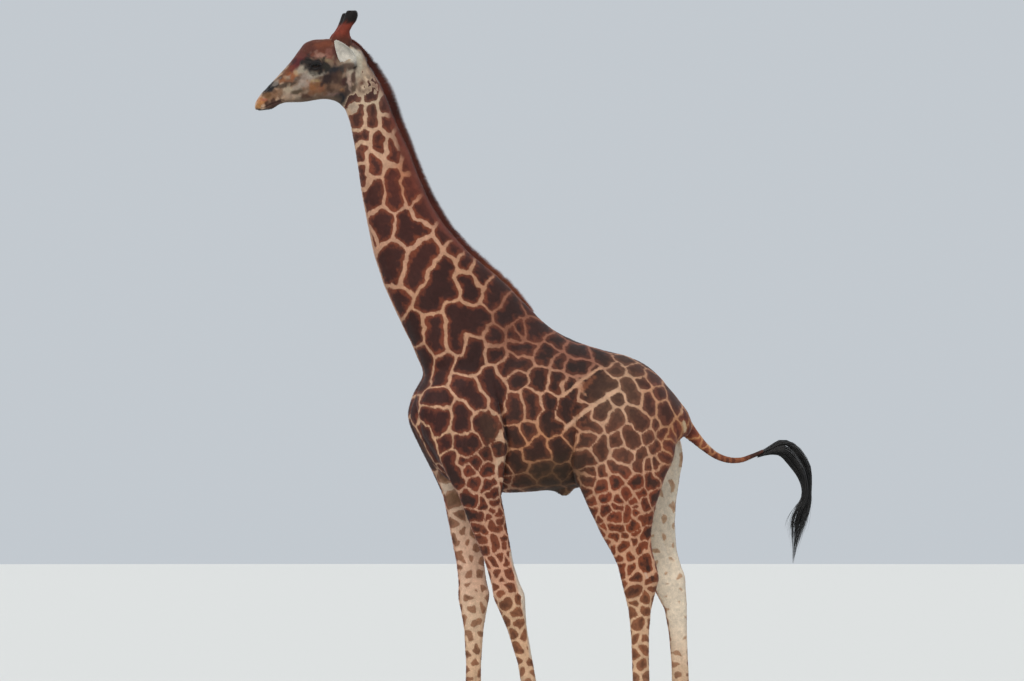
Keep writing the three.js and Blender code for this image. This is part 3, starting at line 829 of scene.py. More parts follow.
THIGH_PATCHES = [
    [(60, 261)], [(69, 254)], [(64, 244), (68, 237)], [(74, 246)], [(81, 248)], [(86, 239)],
    [(79, 235), (80, 228)], [(88, 228), (89, 222)], [(95, 236), (98, 231)], [(57, 234)],
    [(48, 230), (45, 224)], [(33, 224), (35, 218), (41, 215)], [(57, 223), (52, 216)],
    [(65, 226), (72, 220), (76, 218)], [(83, 218)], [(89, 212)], [(34, 206), (39, 208)],
    [(45, 205), (45, 197)], [(33, 194), (39, 193)], [(55, 207)], [(66, 211), (68, 206)], [(78, 208)],
    [(83, 202)], [(57, 196), (64, 194)], [(54, 189), (61, 186)], [(73, 195), (72, 190)], [(77.5, 190)],
    [(84, 191)], [(87, 186)], [(38, 185)], [(36.5, 180)], [(46, 185)], [(56, 177.5)], [(45, 175)],
    [(69, 178)], [(79, 178)], [(63, 169.5)], [(73.5, 169)], [(82, 168)], [(48, 167)], [(34, 172)],
    [(68.5, 165)], [(93.5, 203)], [(95, 210.5)], [(88.5, 196)], [(98, 214)], [(103, 222)], [(106, 213)],
]
FORELEG_PATCHES = [
    [(-48, 168), (-43, 165)], [(-36, 163)], [(-29, 164)], [(-29.5, 170)], [(-45, 156), (-38, 154)],
    [(-33, 154)], [(-30.5, 158.5)], [(-27, 156.5)], [(-25, 151)], [(-29, 148), (-25, 147)], [(-20.5, 148)],
    [(-41, 147), (-35, 146)], [(-39, 141), (-36, 138)], [(-30, 139), (-28, 135)], [(-35.5, 133)],
    [(-22, 141)], [(-22, 136)], [(-18.5, 137)], [(-24.5, 127.5)], [(-21, 126)], [(-29, 124)],
    [(-32, 121.5)], [(-18, 129)], [(-31.5, 115.5)], [(-27, 115.5)], [(-20, 115), (-17.5, 116)],
    [(-23.5, 113)], [(-27, 107)], [(-30, 104)], [(-20.5, 108.5)], [(-25, 104)], [(-52, 155)],
    [(-58, 168), (-55, 165)], [(-55, 149)], [(-51, 144)], [(-56, 141), (-54, 137)], [(-47.5, 136.5)],
    [(-42, 133.5)], [(-52, 131), (-50, 126)], [(-45.5, 127.5)], [(-53, 119)], [(-46.5, 115)], [(-53, 111)],
    [(-46, 109.5)], [(-42, 106.5)], [(-38, 108)], [(-38.5, 116)], [(-53, 103)], [(-46, 100)],
]
SHANK_PATCHES = [
    [(38, 165)], [(57.5, 166)], [(55.5, 161), (58, 160.5)], [(75, 165), (75.5, 162)], [(69.5, 162)],
    [(48.3, 158)], [(39.5, 158)], [(65, 160), (63, 154)], [(70, 158.5)], [(53, 155), (57, 155)],
    [(44.5, 153)], [(74, 153), (79, 153)], [(65, 150), (68, 148)], [(53, 148), (58, 147)], [(46.5, 147.5)],
    [(75, 142), (78, 146)], [(69.5, 143.5)], [(60.5, 142)], [(51, 141), (55, 141)], [(45.5, 144)],
    [(69, 138)], [(50.5, 137.5)], [(53, 135), (53, 132)], [(59, 134), (62, 136)], [(72, 133), (75, 135)],
    [(80, 133)], [(57, 126.5)], [(65, 128)], [(75, 128), (76, 123), (78, 119)], [(59, 122), (59, 117)],
    [(65.5, 119)], [(69, 114)], [(80, 112), (83, 113)], [(82, 107)], [(65.5, 103), (69, 105)], [(82, 99)],
]
TAIL_PATCHES = [
    [(110.5, 211.5)], [(112.5, 206)], [(116.5, 205)], [(119.5, 199.5)], [(122.5, 200)], [(125.5, 195.5)],
    [(129.5, 195)], [(133.5, 193)], [(138, 193.8)], [(142.5, 193.2)], [(146.5, 194.8)], [(151, 196.2)],
]
LEFT_PATCHES = (TAIL_PATCHES + NECK_PATCHES + SHOULDER_PATCHES + BARREL_PATCHES + THIGH_PATCHES
                + FORELEG_PATCHES + SHANK_PATCHES)

READ_DOWN_TO = 1.0  # below this height grass hides the legs
TONE_SPREAD = 0.16  # how much lighter and darker patches are than their neighbours
MIRROR_SHIFT = 0.035  # how far the right side's patches stray from the left side's
SPACING_BY_HEIGHT = [
    (0.1, 0.050), (0.5, 0.062), (1.0, 0.076), (1.5, 0.088), (1.75, 0.11), (2.2, 0.16), (4.4, 0.17),
]
CORNER = 0.004  # how round the patches' corners are
WARP = ((0.007, 0.095), (0.0045, 0.045))  # how far borders wander, and over what length

LINE_BY_HEIGHT = [
    (0.15, 0.020), (0.6, 0.021), (1.1, 0.017), (1.6, 0.012), (1.9, 0.013), (2.5, 0.016), (3.0, 0.022),
    (3.6, 0.024), (4.1, 0.026), (4.4, 0.031),
]


NECK_FRONT = [
    (-1.27, 4.35), (-1.224, 4.088), (-1.155, 3.666), (-1.086, 3.26), (-0.983, 2.99), (-0.90, 2.75),
]


def read_seeds(skin_tree):
    """The patches' seeds on the skin, with each one's patch number."""
    seeds, groups = [], []
    for number, patch in enumerate(LEFT_PATCHES):
        for y, z in patch:
            aim = Vector((0, y / 100, z / 100))
            hit = skin_tree.ray_cast(camera_place, (aim - camera_place).normalized())[0]
            if hit is not None:
                seeds.append(hit)
                groups.append(number)
    return np.array(seeds), np.array(groups)


def mirrored(seeds, groups):
    """The left side's seeds on the right side, moved with the legs, and a little off their places."""
    twin = seeds[:, 0] > 0
    places = seeds[twin] * (-1, 1, 1)
    hind = places[:, 1] > LEG_PARTING_Y
    on_leg = smoothstep(2.15, 1.80, places[:, 2])
    for end, mine in (("hind", hind), ("fore", ~hind)):
        z = np.minimum(places[mine, 2], 1.7)
        places[mine, 1] += on_leg[mine] * (leg_middle(f"{end}_right", z)[0] - leg_middle(f"{end}_left", z)[0])
    stray = MIRROR_SHIFT * smoothstep(1.2, 2.0, places[:, 2])
    places[:, 1] += stray * waver(places, 0.5, 11) + 0.02
    places[:, 2] += stray * waver(places, 0.5, 12)
    return places, groups[twin] + len(LEFT_PATCHES)


def fill_seeds(points, normals, seeds, groups):
    """More seeds where the side view shows nothing and none is near, one patch each."""
    order = rng.permutation(len(points))[:40000]
    ways = np.tile(np.array(outwards), (len(order), 1))
    ways[:, 0] *= np.sign(points[order, 0])
    hidden = (np.einsum("ij,ij->i", normals[order], ways) < 0.15) | (points[order, 2] < READ_DOWN_TO)
    candidates = points[order][hidden & (past_head_cut(points[order]) < -0.02)]
    spacing = table_at(candidates[:, 2], SPACING_BY_HEIGHT) * rng.uniform(0.85, 1.2, len(candidates))
    kept = [seeds[k] for k in range(len(seeds))]
    cloud = np.array(kept + [(9.0, 9.0, 9.0)] * 3000)
    count = len(kept)
    for place, gap in zip(candidates, spacing):
        if count < len(cloud) and ((cloud[:count] - place) ** 2).sum(axis=1).min() > gap * gap:
            cloud[count] = place
            count += 1
    added = count - len(kept)
    return cloud[:count], np.concatenate([groups, groups.max() + 1 + np.arange(added)])


def patch_borders(points, seeds, groups):
    """How far each point lies inside the border of its patch, and that patch's number."""
    inside = np.empty(len(points))
    owner = np.empty(len(points), int)
    size = (seeds**2).sum(axis=1)
    nearest = 14
    for start in range(0, len(points), 8192):
        part = points[start:start + 8192]
        squares = (part**2).sum(axis=1)[:, None] + size - 2 * part @ seeds.T
        near = np.argpartition(squares, nearest, axis=1)[:, :nearest]
        gaps = np.take_along_axis(squares, near, axis=1)
        order = np.argsort(gaps, axis=1)
        near = np.take_along_axis(near, order, axis=1)
        gaps = np.take_along_axis(gaps, order, axis=1)
        own = near[:, :1]
        apart = np.linalg.norm(seeds[near] - seeds[own], axis=2)
        border = (gaps - gaps[:, :1]) / (2 * np.maximum(apart, 1e-6))
        border = np.where(groups[near] == groups[own], 9.0, border)
        inside[start:start + 8192] = -CORNER * np.log(np.exp(-border / CORNER).sum(axis=1))
        owner[start:start + 8192] = groups[own[:, 0]]
    return inside, owner


# Colours of the body as display values: where, the lines between patches, a patch's middle, and its rim.
BODY_COLOURS = [
    ((-1.17, 4.45), (196, 172, 146), (66, 38, 32), (104, 66, 52)),
    ((-1.05, 4.02), (200, 158, 130), (66, 32, 25), (120, 60, 40)),
    ((-1.25, 4.12), (204, 166, 136), (70, 38, 30), (118, 68, 50)),
    ((-0.90, 3.50), (200, 152, 124), (66, 31, 25), (122, 60, 38)),
    ((-0.85, 3.85), (182, 122, 90), (84, 38, 28), (112, 54, 36)),
    ((-0.60, 3.00), (194, 146, 114), (58, 28, 23), (116, 56, 36)),
    ((-0.10, 2.86), (146, 94, 72), (54, 31, 27), (96, 50, 36)),
    ((-0.45, 2.40), (200, 154, 124), (56, 28, 24), (112, 56, 38)),
    ((-0.75, 2.10), (206, 162, 128), (60, 28, 24), (110, 54, 38)),
    ((0.10, 2.32), (196, 148, 118), (52, 28, 22), (106, 54, 35)),
    ((0.30, 2.66), (150, 98, 78), (50, 33, 29), (90, 50, 38)),
    # the belly: darker here as painted shade beneath the trunk
    ((0.10, 1.84), (112, 78, 52), (60, 42, 29), (82, 56, 38)),
    ((0.05, 2.04), (190, 132, 94), (58, 32, 24), (100, 54, 36)),
    # the rump and thigh: patches lighter here as a painted sheen
    ((0.60, 2.38), (200, 160, 130), (84, 56, 43), (112, 76, 58)),
    ((0.86, 2.38), (196, 144, 110), (78, 46, 38), (114, 66, 52)),
    ((0.60, 2.02), (206, 160, 130), (90, 55, 42), (124, 76, 56)),
    ((0.62, 1.70), (196, 146, 116), (58, 33, 25), (130, 62, 38)),
    ((0.65, 1.35), (200, 150, 118), (62, 33, 22), (132, 66, 38)),
    ((-0.42, 1.72), (196, 150, 122), (50, 29, 24), (116, 56, 36)),
    ((-0.27, 1.30), (202, 150, 122), (74, 38, 26), (126, 66, 42)),
    ((-0.20, 0.75), (206, 166, 132), (98, 58, 38), (136, 86, 58)),
    ((0.70, 0.75), (206, 166, 132), (98, 58, 38), (136, 86, 58)),
    ((-0.15, 0.18), (196, 164, 134), (118, 80, 58), (150, 108, 82)),
    ((0.80, 0.18), (196, 164, 134), (118, 80, 58), (150, 108, 82)),
    ((1.10, 2.10), (182, 126, 84), (92, 44, 34), (130, 68, 44)),
    ((1.40, 1.94), (140, 82, 52), (88, 44, 32), (110, 58, 38)),
    ((1.56, 1.98), (78, 40, 30), (50, 28, 24), (60, 34, 26)),
]

# Soft strokes of colour over the skin: place, half-length, half-height, tilt in degrees, colour and strength.
# Later strokes lie over earlier ones. Those of the body also say how far they wipe out the patches beneath.
BODY_STROKES = [
    ((-0.250, 1.90), 0.034, 0.130, 0, (210, 180, 152), 0.65, 0.3),  # pale hollow behind the elbow
    ((-0.268, 2.135), 0.030, 0.125, 25, (196, 164, 136), 0.75, 0.35),  # pale edge of the triceps
    ((1.034, 2.170), 0.013, 0.075, 11, (206, 182, 148), 0.85, 0.7),  # pale stripe on the root of the tail
    ((-1.250, 4.290), 0.042, 0.038, -30, (164, 146, 130), 0.7, 0.8),  # pale throat behind the jaw
    ((0.750, 1.210), 0.012, 0.080, 14, (204, 180, 162), 0.65, 0.3),  # painted highlight on the shin beside the groove of the hock
    ((0.20, 1.69), 0.070, 0.030, 0, (112, 92, 68), 0.5, 0.4),  # sheath and the belly round it
]
HEAD_STROKES = [
    ((-1.478, 4.537), 0.352, 0.281, 0, (128, 104, 86), 1),  # the whole head
    ((-1.400, 4.440), 0.150, 0.100, 0, (100, 74, 60), 0.75),  # brown jaw and cheek
    ((-1.252, 4.580), 0.078, 0.098, 0, (176, 160, 140), 1),  # pale throat latch and the skin behind the ear
    ((-1.488, 4.690), 0.170, 0.088, -3, (106, 56, 41), 1),  # forehead
    ((-1.630, 4.606), 0.085, 0.048, 52, (96, 46, 40), 1),  # bridge
    ((-1.554, 4.690), 0.055, 0.040, 20, (84, 42, 32), 0.8),
    ((-1.457, 4.720), 0.075, 0.025, 5, (122, 64, 42), 0.7),
    ((-1.478, 4.641), 0.045, 0.025, -5, (158, 118, 102), 0.85),  # pinkish temple
    ((-1.422, 4.666), 0.030, 0.035, 0, (132, 84, 72), 0.7),
    ((-1.376, 4.661), 0.021, 0.070, 4, (78, 42, 38), 0.85),  # dark band before the ear
    ((-1.442, 4.611), 0.045, 0.013, -8, (138, 118, 88), 0.8),  # brow behind the eye
    ((-1.630, 4.596), 0.043, 0.025, 48, (88, 34, 38), 0.85),
    ((-1.660, 4.596), 0.030, 0.012, 52, (54, 30, 36), 0.7),  # dark edge of the bridge
    ((-1.680, 4.547), 0.035, 0.020, 45, (112, 48, 38), 0.9),
    ((-1.700, 4.517), 0.023, 0.021, 0, (150, 78, 38), 0.9),  # rust patches on the nose
    ((-1.660, 4.497), 0.030, 0.024, 0, (148, 88, 54), 0.85),
    ((-1.741, 4.472), 0.032, 0.017, 35, (140, 84, 48), 0.85),
    ((-1.680, 4.467), 0.040, 0.015, 15, (130, 80, 52), 0.8),
    ((-1.722, 4.512), 0.052, 0.018, 44, (112, 68, 46), 0.85),
    ((-1.197, 4.460), 0.018, 0.020, 0, (92, 58, 45), 0.9),
    ((-1.716, 4.492), 0.013, 0.013, 0, (170, 134, 104), 0.6),
    ((-1.644, 4.524), 0.015, 0.019, 0, (186, 155, 117), 0.66),
    ((-1.599, 4.547), 0.040, 0.030, 20, (171, 162, 144), 0.74),  # pale skin before the eye
    ((-1.564, 4.507), 0.045, 0.030, 0, (150, 134, 123), 0.66),
    ((-1.528, 4.514), 0.045, 0.028, 0, (156, 151, 135), 0.61),
    ((-1.457, 4.522), 0.035, 0.015, 28, (162, 153, 139), 0.61),
    ((-1.579, 4.460), 0.060, 0.035, 10, (173, 155, 142), 0.7),  # pale cheek
    ((-1.630, 4.428), 0.045, 0.020, 20, (163, 149, 135), 0.66),
    ((-1.635, 4.482), 0.020, 0.013, 30, (84, 66, 54), 0.7),
    ((-1.675, 4.445), 0.052, 0.011, 20, (72, 54, 43), 0.85),  # dark streaks
    ((-1.741, 4.432), 0.055, 0.018, 12, (74, 58, 46), 0.9),
    ((-1.711, 4.400), 0.050, 0.023, 18, (175, 160, 137), 0.7),  # pale stripe of the muzzle
    ((-1.751, 4.378), 0.035, 0.025, 20, (160, 136, 116), 0.66),
    ((-1.680, 4.371), 0.045, 0.020, 5, (169, 145, 126), 0.66),
    ((-1.630, 4.356), 0.045, 0.022, 0, (177, 158, 137), 0.61),
    ((-1.640, 4.393), 0.040, 0.015, 12, (76, 62, 46), 0.9),  # dark spot beside the mouth
    ((-1.695, 4.338), 0.040, 0.017, 0, (167, 138, 116), 0.61),
    ((-1.580, 4.358), 0.036, 0.028, 0, (82, 54, 41), 0.95),  # spots along the jaw
    ((-1.545, 4.350), 0.028, 0.022, 0, (80, 48, 38), 0.9),
    ((-1.503, 4.353), 0.030, 0.019, 0, (142, 112, 86), 0.7),
    ((-1.462, 4.358), 0.031, 0.018, 0, (130, 82, 60), 0.75),
    ((-1.422, 4.376), 0.040, 0.020, 0, (142, 114, 106), 0.75),
    ((-1.371, 4.383), 0.030, 0.013, 10, (150, 114, 106), 0.7),
    ((-1.630, 4.319), 0.131, 0.008, 2, (110, 100, 90), 0.6),  # shaded edge of the jaw
    ((-1.498, 4.423), 0.070, 0.050, 8, (138, 92, 62), 0.85),  # orange-brown cheek
    ((-1.533, 4.425), 0.023, 0.023, 0, (148, 94, 56), 0.7),
    ((-1.495, 4.448), 0.038, 0.014, 0, (120, 82, 52), 0.7),
    ((-1.472, 4.420), 0.025, 0.024, 0, (128, 80, 58), 0.7),
    ((-1.538, 4.388), 0.026, 0.022, 0, (128, 84, 58), 0.75),
    ((-1.508, 4.473), 0.033, 0.011, 0, (171, 147, 103), 0.49),
    ((-1.432, 4.487), 0.052, 0.039, 20, (48, 32, 30), 1),  # dark patches behind the eye
    ((-1.376, 4.544), 0.066, 0.032, -4, (36, 34, 38), 1),
    ((-1.331, 4.564), 0.027, 0.022, 0, (46, 42, 42), 0.85),
    ((-1.374, 4.492), 0.032, 0.048, 0, (68, 46, 38), 0.9),
    ((-1.345, 4.507), 0.020, 0.044, 0, (84, 60, 46), 0.8),
    ((-1.412, 4.423), 0.034, 0.024, 0, (78, 54, 42), 0.9),
    ((-1.374, 4.437), 0.037, 0.022, 0, (122, 90, 70), 0.7),
    ((-1.315, 4.472), 0.026, 0.036, 0, (64, 36, 32), 0.95),
    ((-1.331, 4.414), 0.018, 0.012, 0, (156, 108, 72), 0.7),
    ((-1.342, 4.350), 0.048, 0.046, -20, (30, 28, 32), 1),  # black throat
    ((-1.290, 4.418), 0.024, 0.048, -8, (62, 46, 40), 0.95),
    ((-1.310, 4.547), 0.011, 0.022, 0, (98, 62, 46), 0.7),
    ((-1.282, 4.477), 0.012, 0.065, 8, (179, 151, 135), 0.7),  # pale line down the throat latch
    ((-1.254, 4.497), 0.016, 0.042, 0, (76, 52, 42), 0.95),
    ((-1.250, 4.425), 0.020, 0.024, 0, (84, 66, 52), 0.95),
    ((-1.275, 4.575), 0.048, 0.030, 0, (86, 66, 56), 0.9),  # painted shadow beneath the ear
    ((-1.250, 4.655), 0.055, 0.050, -35, (208, 202, 188), 0.9),  # white fur round the root of the ear
    ((-1.214, 4.606), 0.025, 0.045, 0, (180, 171, 151), 0.66),
    ((-1.280, 4.740), 0.075, 0.028, -32, (76, 42, 34), 0.9),  # dark poll behind the horns
    ((-1.224, 4.703), 0.030, 0.023, -30, (66, 50, 42), 0.8),
    ((-1.817, 4.368), 0.075, 0.055, 35, (120, 84, 58), 0.9),  # muzzle
    ((-1.820, 4.418), 0.066, 0.032, 38, (28, 25, 27), 1),  # black round the nostril
    ((-1.782, 4.450), 0.030, 0.013, 45, (146, 134, 124), 0.6),
    ((-1.837, 4.366), 0.033, 0.025, 30, (112, 76, 44), 0.8),
    ((-1.883, 4.326), 0.032, 0.031, 50, (172, 110, 56), 0.9),  # orange upper lip
    ((-1.863, 4.339), 0.026, 0.012, 10, (158, 88, 66), 0.7),
    ((-1.896, 4.294), 0.023, 0.023, 0, (158, 106, 50), 0.85),
    ((-1.812, 4.304), 0.060, 0.029, 10, (66, 40, 30), 0.95),  # dark lower lip
    ((-1.766, 4.319), 0.030, 0.022, 10, (82, 54, 46), 0.8),
    # painted shade along the line of the mouth
    ((-1.893, 4.269), 0.030, 0.009, 0, (32, 26, 28), 0.9),
    ((-1.832, 4.275), 0.065, 0.008, 6, (34, 30, 32), 0.9),
    ((-1.508, 4.574), 0.092, 0.050, -8, (38, 30, 28), 1),  # dark lids and the dark hair round them, with painted shadow of the lashes
    # painted shadow under the ridge of the brow
    ((-1.550, 4.602), 0.040, 0.024, -30, (34, 28, 26), 1),
    ((-1.436, 4.566), 0.040, 0.024, 10, (42, 38, 32), 0.95),
]
# Painted highlight down the foreleg's back, and pale hair with painted highlight along the flank's folds:
# line, half-width, colour, strength.
PALE_AND_LIT_LINES = [
   
    ([(-0.163, 1.30), (-0.141, 1.216), (-0.093, 1.02), (-0.049, 0.828), (-0.023, 0.611)],
     0.015, (218, 204, 186), 0.8),
    ([(0.19, 2.368), (0.329, 2.483), (0.447, 2.557)], 0.0068, (206, 160, 128), 0.9),
    ([(0.205, 2.152), (0.364, 2.280), (0.564, 2.409)], 0.0068, (208, 166, 136), 0.9),
]
# Broad tones that tint lines and patches alike: place, half-length, half-height, tilt, colour, strength.
BODY_TONES = [
    ((-0.325, 2.160), 0.060, 0.130, 22, (84, 58, 42), 0.35),  # duller triceps
    ((-0.208, 2.120), 0.011, 0.105, 2, (26, 17, 14), 0.75),  # painted shadow in the fold behind it
    ((0.787, 1.190), 0.010, 0.095, 16, (40, 24, 20), 0.8),  # painted shade in the groove before the hock's tendon
    ((0.312, 2.416), 0.018, 0.036, 15, (214, 158, 122), 0.75),  # painted highlight on the flank's fold
    ((0.350, 2.440), 0.075, 0.020, 42, (150, 88, 58), 0.5),
]
MANE_LINE = [
    (-1.268, 4.752), (-1.222, 4.728), (-1.178, 4.700), (-1.138, 4.648), (-1.085, 4.580), (-1.005, 4.460),
    (-0.945, 4.330), (-0.870, 4.150), (-0.800, 3.970), (-0.730, 3.803), (-0.658, 3.665), (-0.570, 3.520),
    (-0.472, 3.415), (-0.385, 3.335), (-0.290, 3.250), (-0.200, 3.175), (-0.127, 3.105), (-0.065, 3.018),
    (-0.010, 2.945),
]
NAPE = (112, 53, 39)
NAPE_DARK = (80, 39, 31)
# How far the mane's colour reaches over the neck, from the mane's outer edge.
NAPE_BY_HEIGHT = [
    (2.95, 0.030), (3.16, 0.036), (3.29, 0.055), (3.40, 0.080), (3.50, 0.092), (3.66, 0.090), (3.83, 0.103),
    (4.00, 0.110), (4.20, 0.092), (4.40, 0.072), (4.50, 0.056), (4.60, 0.036), (4.68, 0.026), (4.76, 0.022),
]
# painted shade on the head's underside
UNDER_HEAD_SHADE = (112, 92, 76)
INNER_PALE = (228, 212, 190)
INNER_MIDDLE = (178, 132, 98)
INNER_RIM = (202, 166, 134)
POLL = (82, 42, 34)
LID_RIM = (26, 20, 20)


def stroke_weight(places, wander, stroke):
    centre, half_length, half_height, tilt, _, strength = stroke[:6]
    along, across = tilted(places, centre, tilt)
    away = np.hypot(along / half_length, across / half_height)
    return strength * smoothstep(1.35, 0.55, away * (1 + 0.22 * wander))


def mix(first, second, share):
    return first + (second - first) * share[:, None]


def nearness(places, anchors, softness):
    """How near each place is to each anchor, as a number that falls with the distance's fourth power."""
    squares = ((places[:, None, :] - anchors[None]) ** 2).sum(axis=2)
    return 1 / (squares + softness) ** 2


def body_colours(places):
    """Line, middle and rim colours, blended between the places where they are stated."""
    anchors = np.array([place for place, *_ in BODY_COLOURS])
    share = nearness(places, anchors, 0.004)
    share /= share.sum(axis=1, keepdims=True)
    return [share @ np.array([linear(row[k]) for row in BODY_COLOURS]) for k in (1, 2, 3)]


def on_head(points):
    return smoothstep(-0.03, 0.01, past_head_cut(points)) * (points[:, 2] > HEAD_FLOOR)


def tinge(paint, colour, share, *parts):
    """Mixes a display colour into the named parts of the paint."""
    for part in parts:
        paint[part] = mix(paint[part], linear(colour), share)


def paint_patches(points, places, seeds, groups):
    """The patches' and lines' own colours, and how far inside a patch each point is."""
    warped = points.copy()
    for axis in range(3):
        for amount, size in WARP:
            warped[:, axis] += amount * waver(points, size, 20 + axis + int(1000 * size))
    inside, owner = patch_borders(warped, seeds, groups)
    line, middle, rim = body_colours(places)
    tone = 1 + TONE_SPREAD * np.random.default_rng(5).uniform(-1, 1, groups.max() + 1)[owner]
    width = table_at(points[:, 2], LINE_BY_HEIGHT) * (1 + 0.22 * waver(points, 0.3, 31))
    ahead = smoothstep(0.13, 0.03, np.abs(from_line(places, NECK_FRONT))) * smoothstep(2.8, 3.0, points[:, 2])
    ahead *= smoothstep(3.95, 3.75, points[:, 2])
    mark = inside - width * (1 + 0.9 * ahead) / 2
    return {"line": line, "middle": middle * tone[:, None], "rim": rim * tone[:, None], "mark": mark,
            "wet": np.zeros(len(points))}


def pale_share(points, normals):
    """How pale each point is: the insides of the legs, the armpits, and the skin beneath the tail."""
    inner = smoothstep(0.15, 0.75, -facing_out(points, normals))
    inner *= smoothstep(2.20, 1.95, points[:, 2]) * smoothstep(0.35, 0.9, points[:, 2])
    hind_inner = inner * smoothstep(0.30, 0.45, points[:, 1])
    fore_inner = inner - hind_inner
    perineum = smoothstep(0.3, 0.9, normals[:, 1]) * smoothstep(0.75, 0.85, points[:, 1])
    perineum *= smoothstep(2.10, 1.96, points[:, 2]) * smoothstep(1.1, 1.5, points[:, 2])
    perineum *= smoothstep(0.20, 0.10, np.abs(points[:, 0]))
    armpit = fore_inner * smoothstep(1.55, 1.75, points[:, 2])
    return np.clip(0.95 * hind_inner + 0.30 * fore_inner + 0.3 * armpit + perineum, 0, 1)


def paint_pale(paint, pale):
    tinge(paint, INNER_PALE, pale, "line")
    tinge(paint, INNER_MIDDLE, 0.85 * pale, "middle")
    tinge(paint, INNER_RIM, 0.9 * pale, "rim")
    paint["mark"] -= 0.026 * pale


def paint_strokes(paint, points, normals, places, wander):
    """The pale and dark strokes, lines and tones that lie over the body's patches, painted highlights and
    shadows among them.
    """
    outer = smoothstep(-0.35, 0, facing_out(points, normals))
    for stroke in BODY_STROKES:
        weight = stroke_weight(places, wander, stroke) * outer
        tinge(paint, stroke[4], weight, "line")
        paint["mark"] -= 0.05 * stroke[6] * weight
    for pale_lit_line, half_width, colour, strength in PALE_AND_LIT_LINES:
        near = smoothstep(2.0, 0.7, np.abs(from_line(places, pale_lit_line)) / half_width)
        weight = strength * outer * near
        tinge(paint, colour, weight, "line")
        paint["mark"] -= 0.05 * weight
    for tone in BODY_TONES:
        weight = stroke_weight(places, wander, tone) * outer
        tinge(paint, tone[4], 0.3 * weight, "line")
        tinge(paint, tone[4], weight, "middle", "rim")


def paint_head(paint, points, normals, places, wander):
    """The head has strokes of colour in place of patches, and painted shade on its underside."""
    head = on_head(points)
    upper = smoothstep(4.34, 4.40, points[:, 2]) * (points[:, 1] < -1.1)
    wipe = head.copy()
    for stroke in HEAD_STROKES:
        weight = stroke_weight(places, wander, stroke) * np.maximum(upper, head)
        tinge(paint, stroke[4], weight, "line")
        wipe = np.maximum(wipe, weight)
    # painted shade: the head darker where it faces down, between the jaw's angle and the muzzle
    under = smoothstep(0.45, 0.85, -normals[:, 2]) * smoothstep(-1.30, -1.38, points[:, 1])
    under *= smoothstep(-1.80, -1.74, points[:, 1]) * smoothstep(4.42, 4.38, points[:, 2])
    tinge(paint, UNDER_HEAD_SHADE, 0.8 * under * head, "line")
    paint["mark"] -= 0.2 * smoothstep(0.25, 0.6, wipe)


def paint_nape(paint, points, places):
    """The skin beside the mane takes the mane's colour, lines and patches alike."""
    away = np.abs(from_line(places, MANE_LINE)) + 0.008 * waver(points, 0.08, 51)
    width = table_at(points[:, 2], NAPE_BY_HEIGHT)
    close = smoothstep(1.18, 0.85, away / width)
    near = 0.45 * smoothstep(1.8, 1.0, away / width)
    spots = smoothstep(-0.2, 0.8, waver(points, 0.16, 72))
    nape = mix(linear(NAPE), linear(NAPE_DARK), 0.6 * spots)
    for part, strength in (("line", 1.0), ("middle", 0.5), ("rim", 0.8)):
        colour = mix(paint[part], nape, strength * near)
        paint[part] = mix(colour, nape, 0.94 * close)


def paint_poll(paint, points, normals):
    crest = smoothstep(0.050, 0.030, np.abs(points[:, 0])) * smoothstep(0.15, 0.45, normals[:, 1])
    crest *= smoothstep(4.50, 4.58, points[:, 2]) * smoothstep(-1.33, -1.28, points[:, 1])
    tinge(paint, POLL, 0.9 * crest, "line")


def paint_lids(paint, points):
    """The dark, wet rims of the eyes."""
    for side in SIDES.values():
        near_eye = np.linalg.norm(points - on_side(EYE_CENTRE, side), axis=1) < 0.06
        lids = lid_distance(points[near_eye], side)
        rim_of_eye = smoothstep(0.014, 0.004, lids)
        paint["line"][near_eye] = mix(paint["line"][near_eye], linear(LID_RIM), rim_of_eye)
        paint["wet"][near_eye] = smoothstep(0.004, 0.001, lids)


def wet_muzzle(paint, points, places):
    head = on_head(points)
    muzzle = smoothstep(-1.84, -1.90, points[:, 1]) * head
    nostrils = smoothstep(1.6, 0.9, in_nostril(places)) * head * (points[:, 1] < -1.7)
    paint["wet"] = np.maximum(np.maximum(paint["wet"], 0.45 * muzzle), nostrils)


def paint_body(points, normals, seeds, groups):
    """The skin's colours at each point: its line, middle and rim colours, how far inside a patch it is, and
    how wet it is."""
    places = seen(points)
    wander = waver(points, 0.035, 41) + 0.5 * waver(points, 0.019, 42)
    paint = paint_patches(points, places, seeds, groups)
    paint_pale(paint, pale_share(points, normals))
    paint_strokes(paint, points, normals, places, wander)
    paint_head(paint, points, normals, places, wander)
    paint_nape(paint, points, places)
    paint_poll(paint, points, normals)
    paint_lids(paint, points)
    wet_muzzle(paint, points, places)
    return paint


def plain_paint(colour, wet=0.0):
    """Paint of one colour in and out of the patches."""
    count = len(colour)
    return {"line": colour, "middle": colour, "rim": colour, "mark": np.full(count, -0.1),
            "wet": np.zeros(count) + wet}


def store_paint(mesh, paint, tint=None):
    """Writes the colours on a mesh's points for the materials to read."""
    count = len(mesh.vertices)
    for name in ("line", "middle", "rim"):
        colours = np.ones((count, 4), np.float32)
        colours[:, :3] = np.clip(paint[name], 0, 1)
        mesh.attributes.new(name, "FLOAT_COLOR", "POINT").data.foreach_set("color", colours.ravel())
    store_number(mesh, "mark", paint["mark"])
    store_number(mesh, "wet", paint["wet"])
    store_number(mesh, "tint", np.zeros(count) if tint is None else tint)


# ---- Materials ----


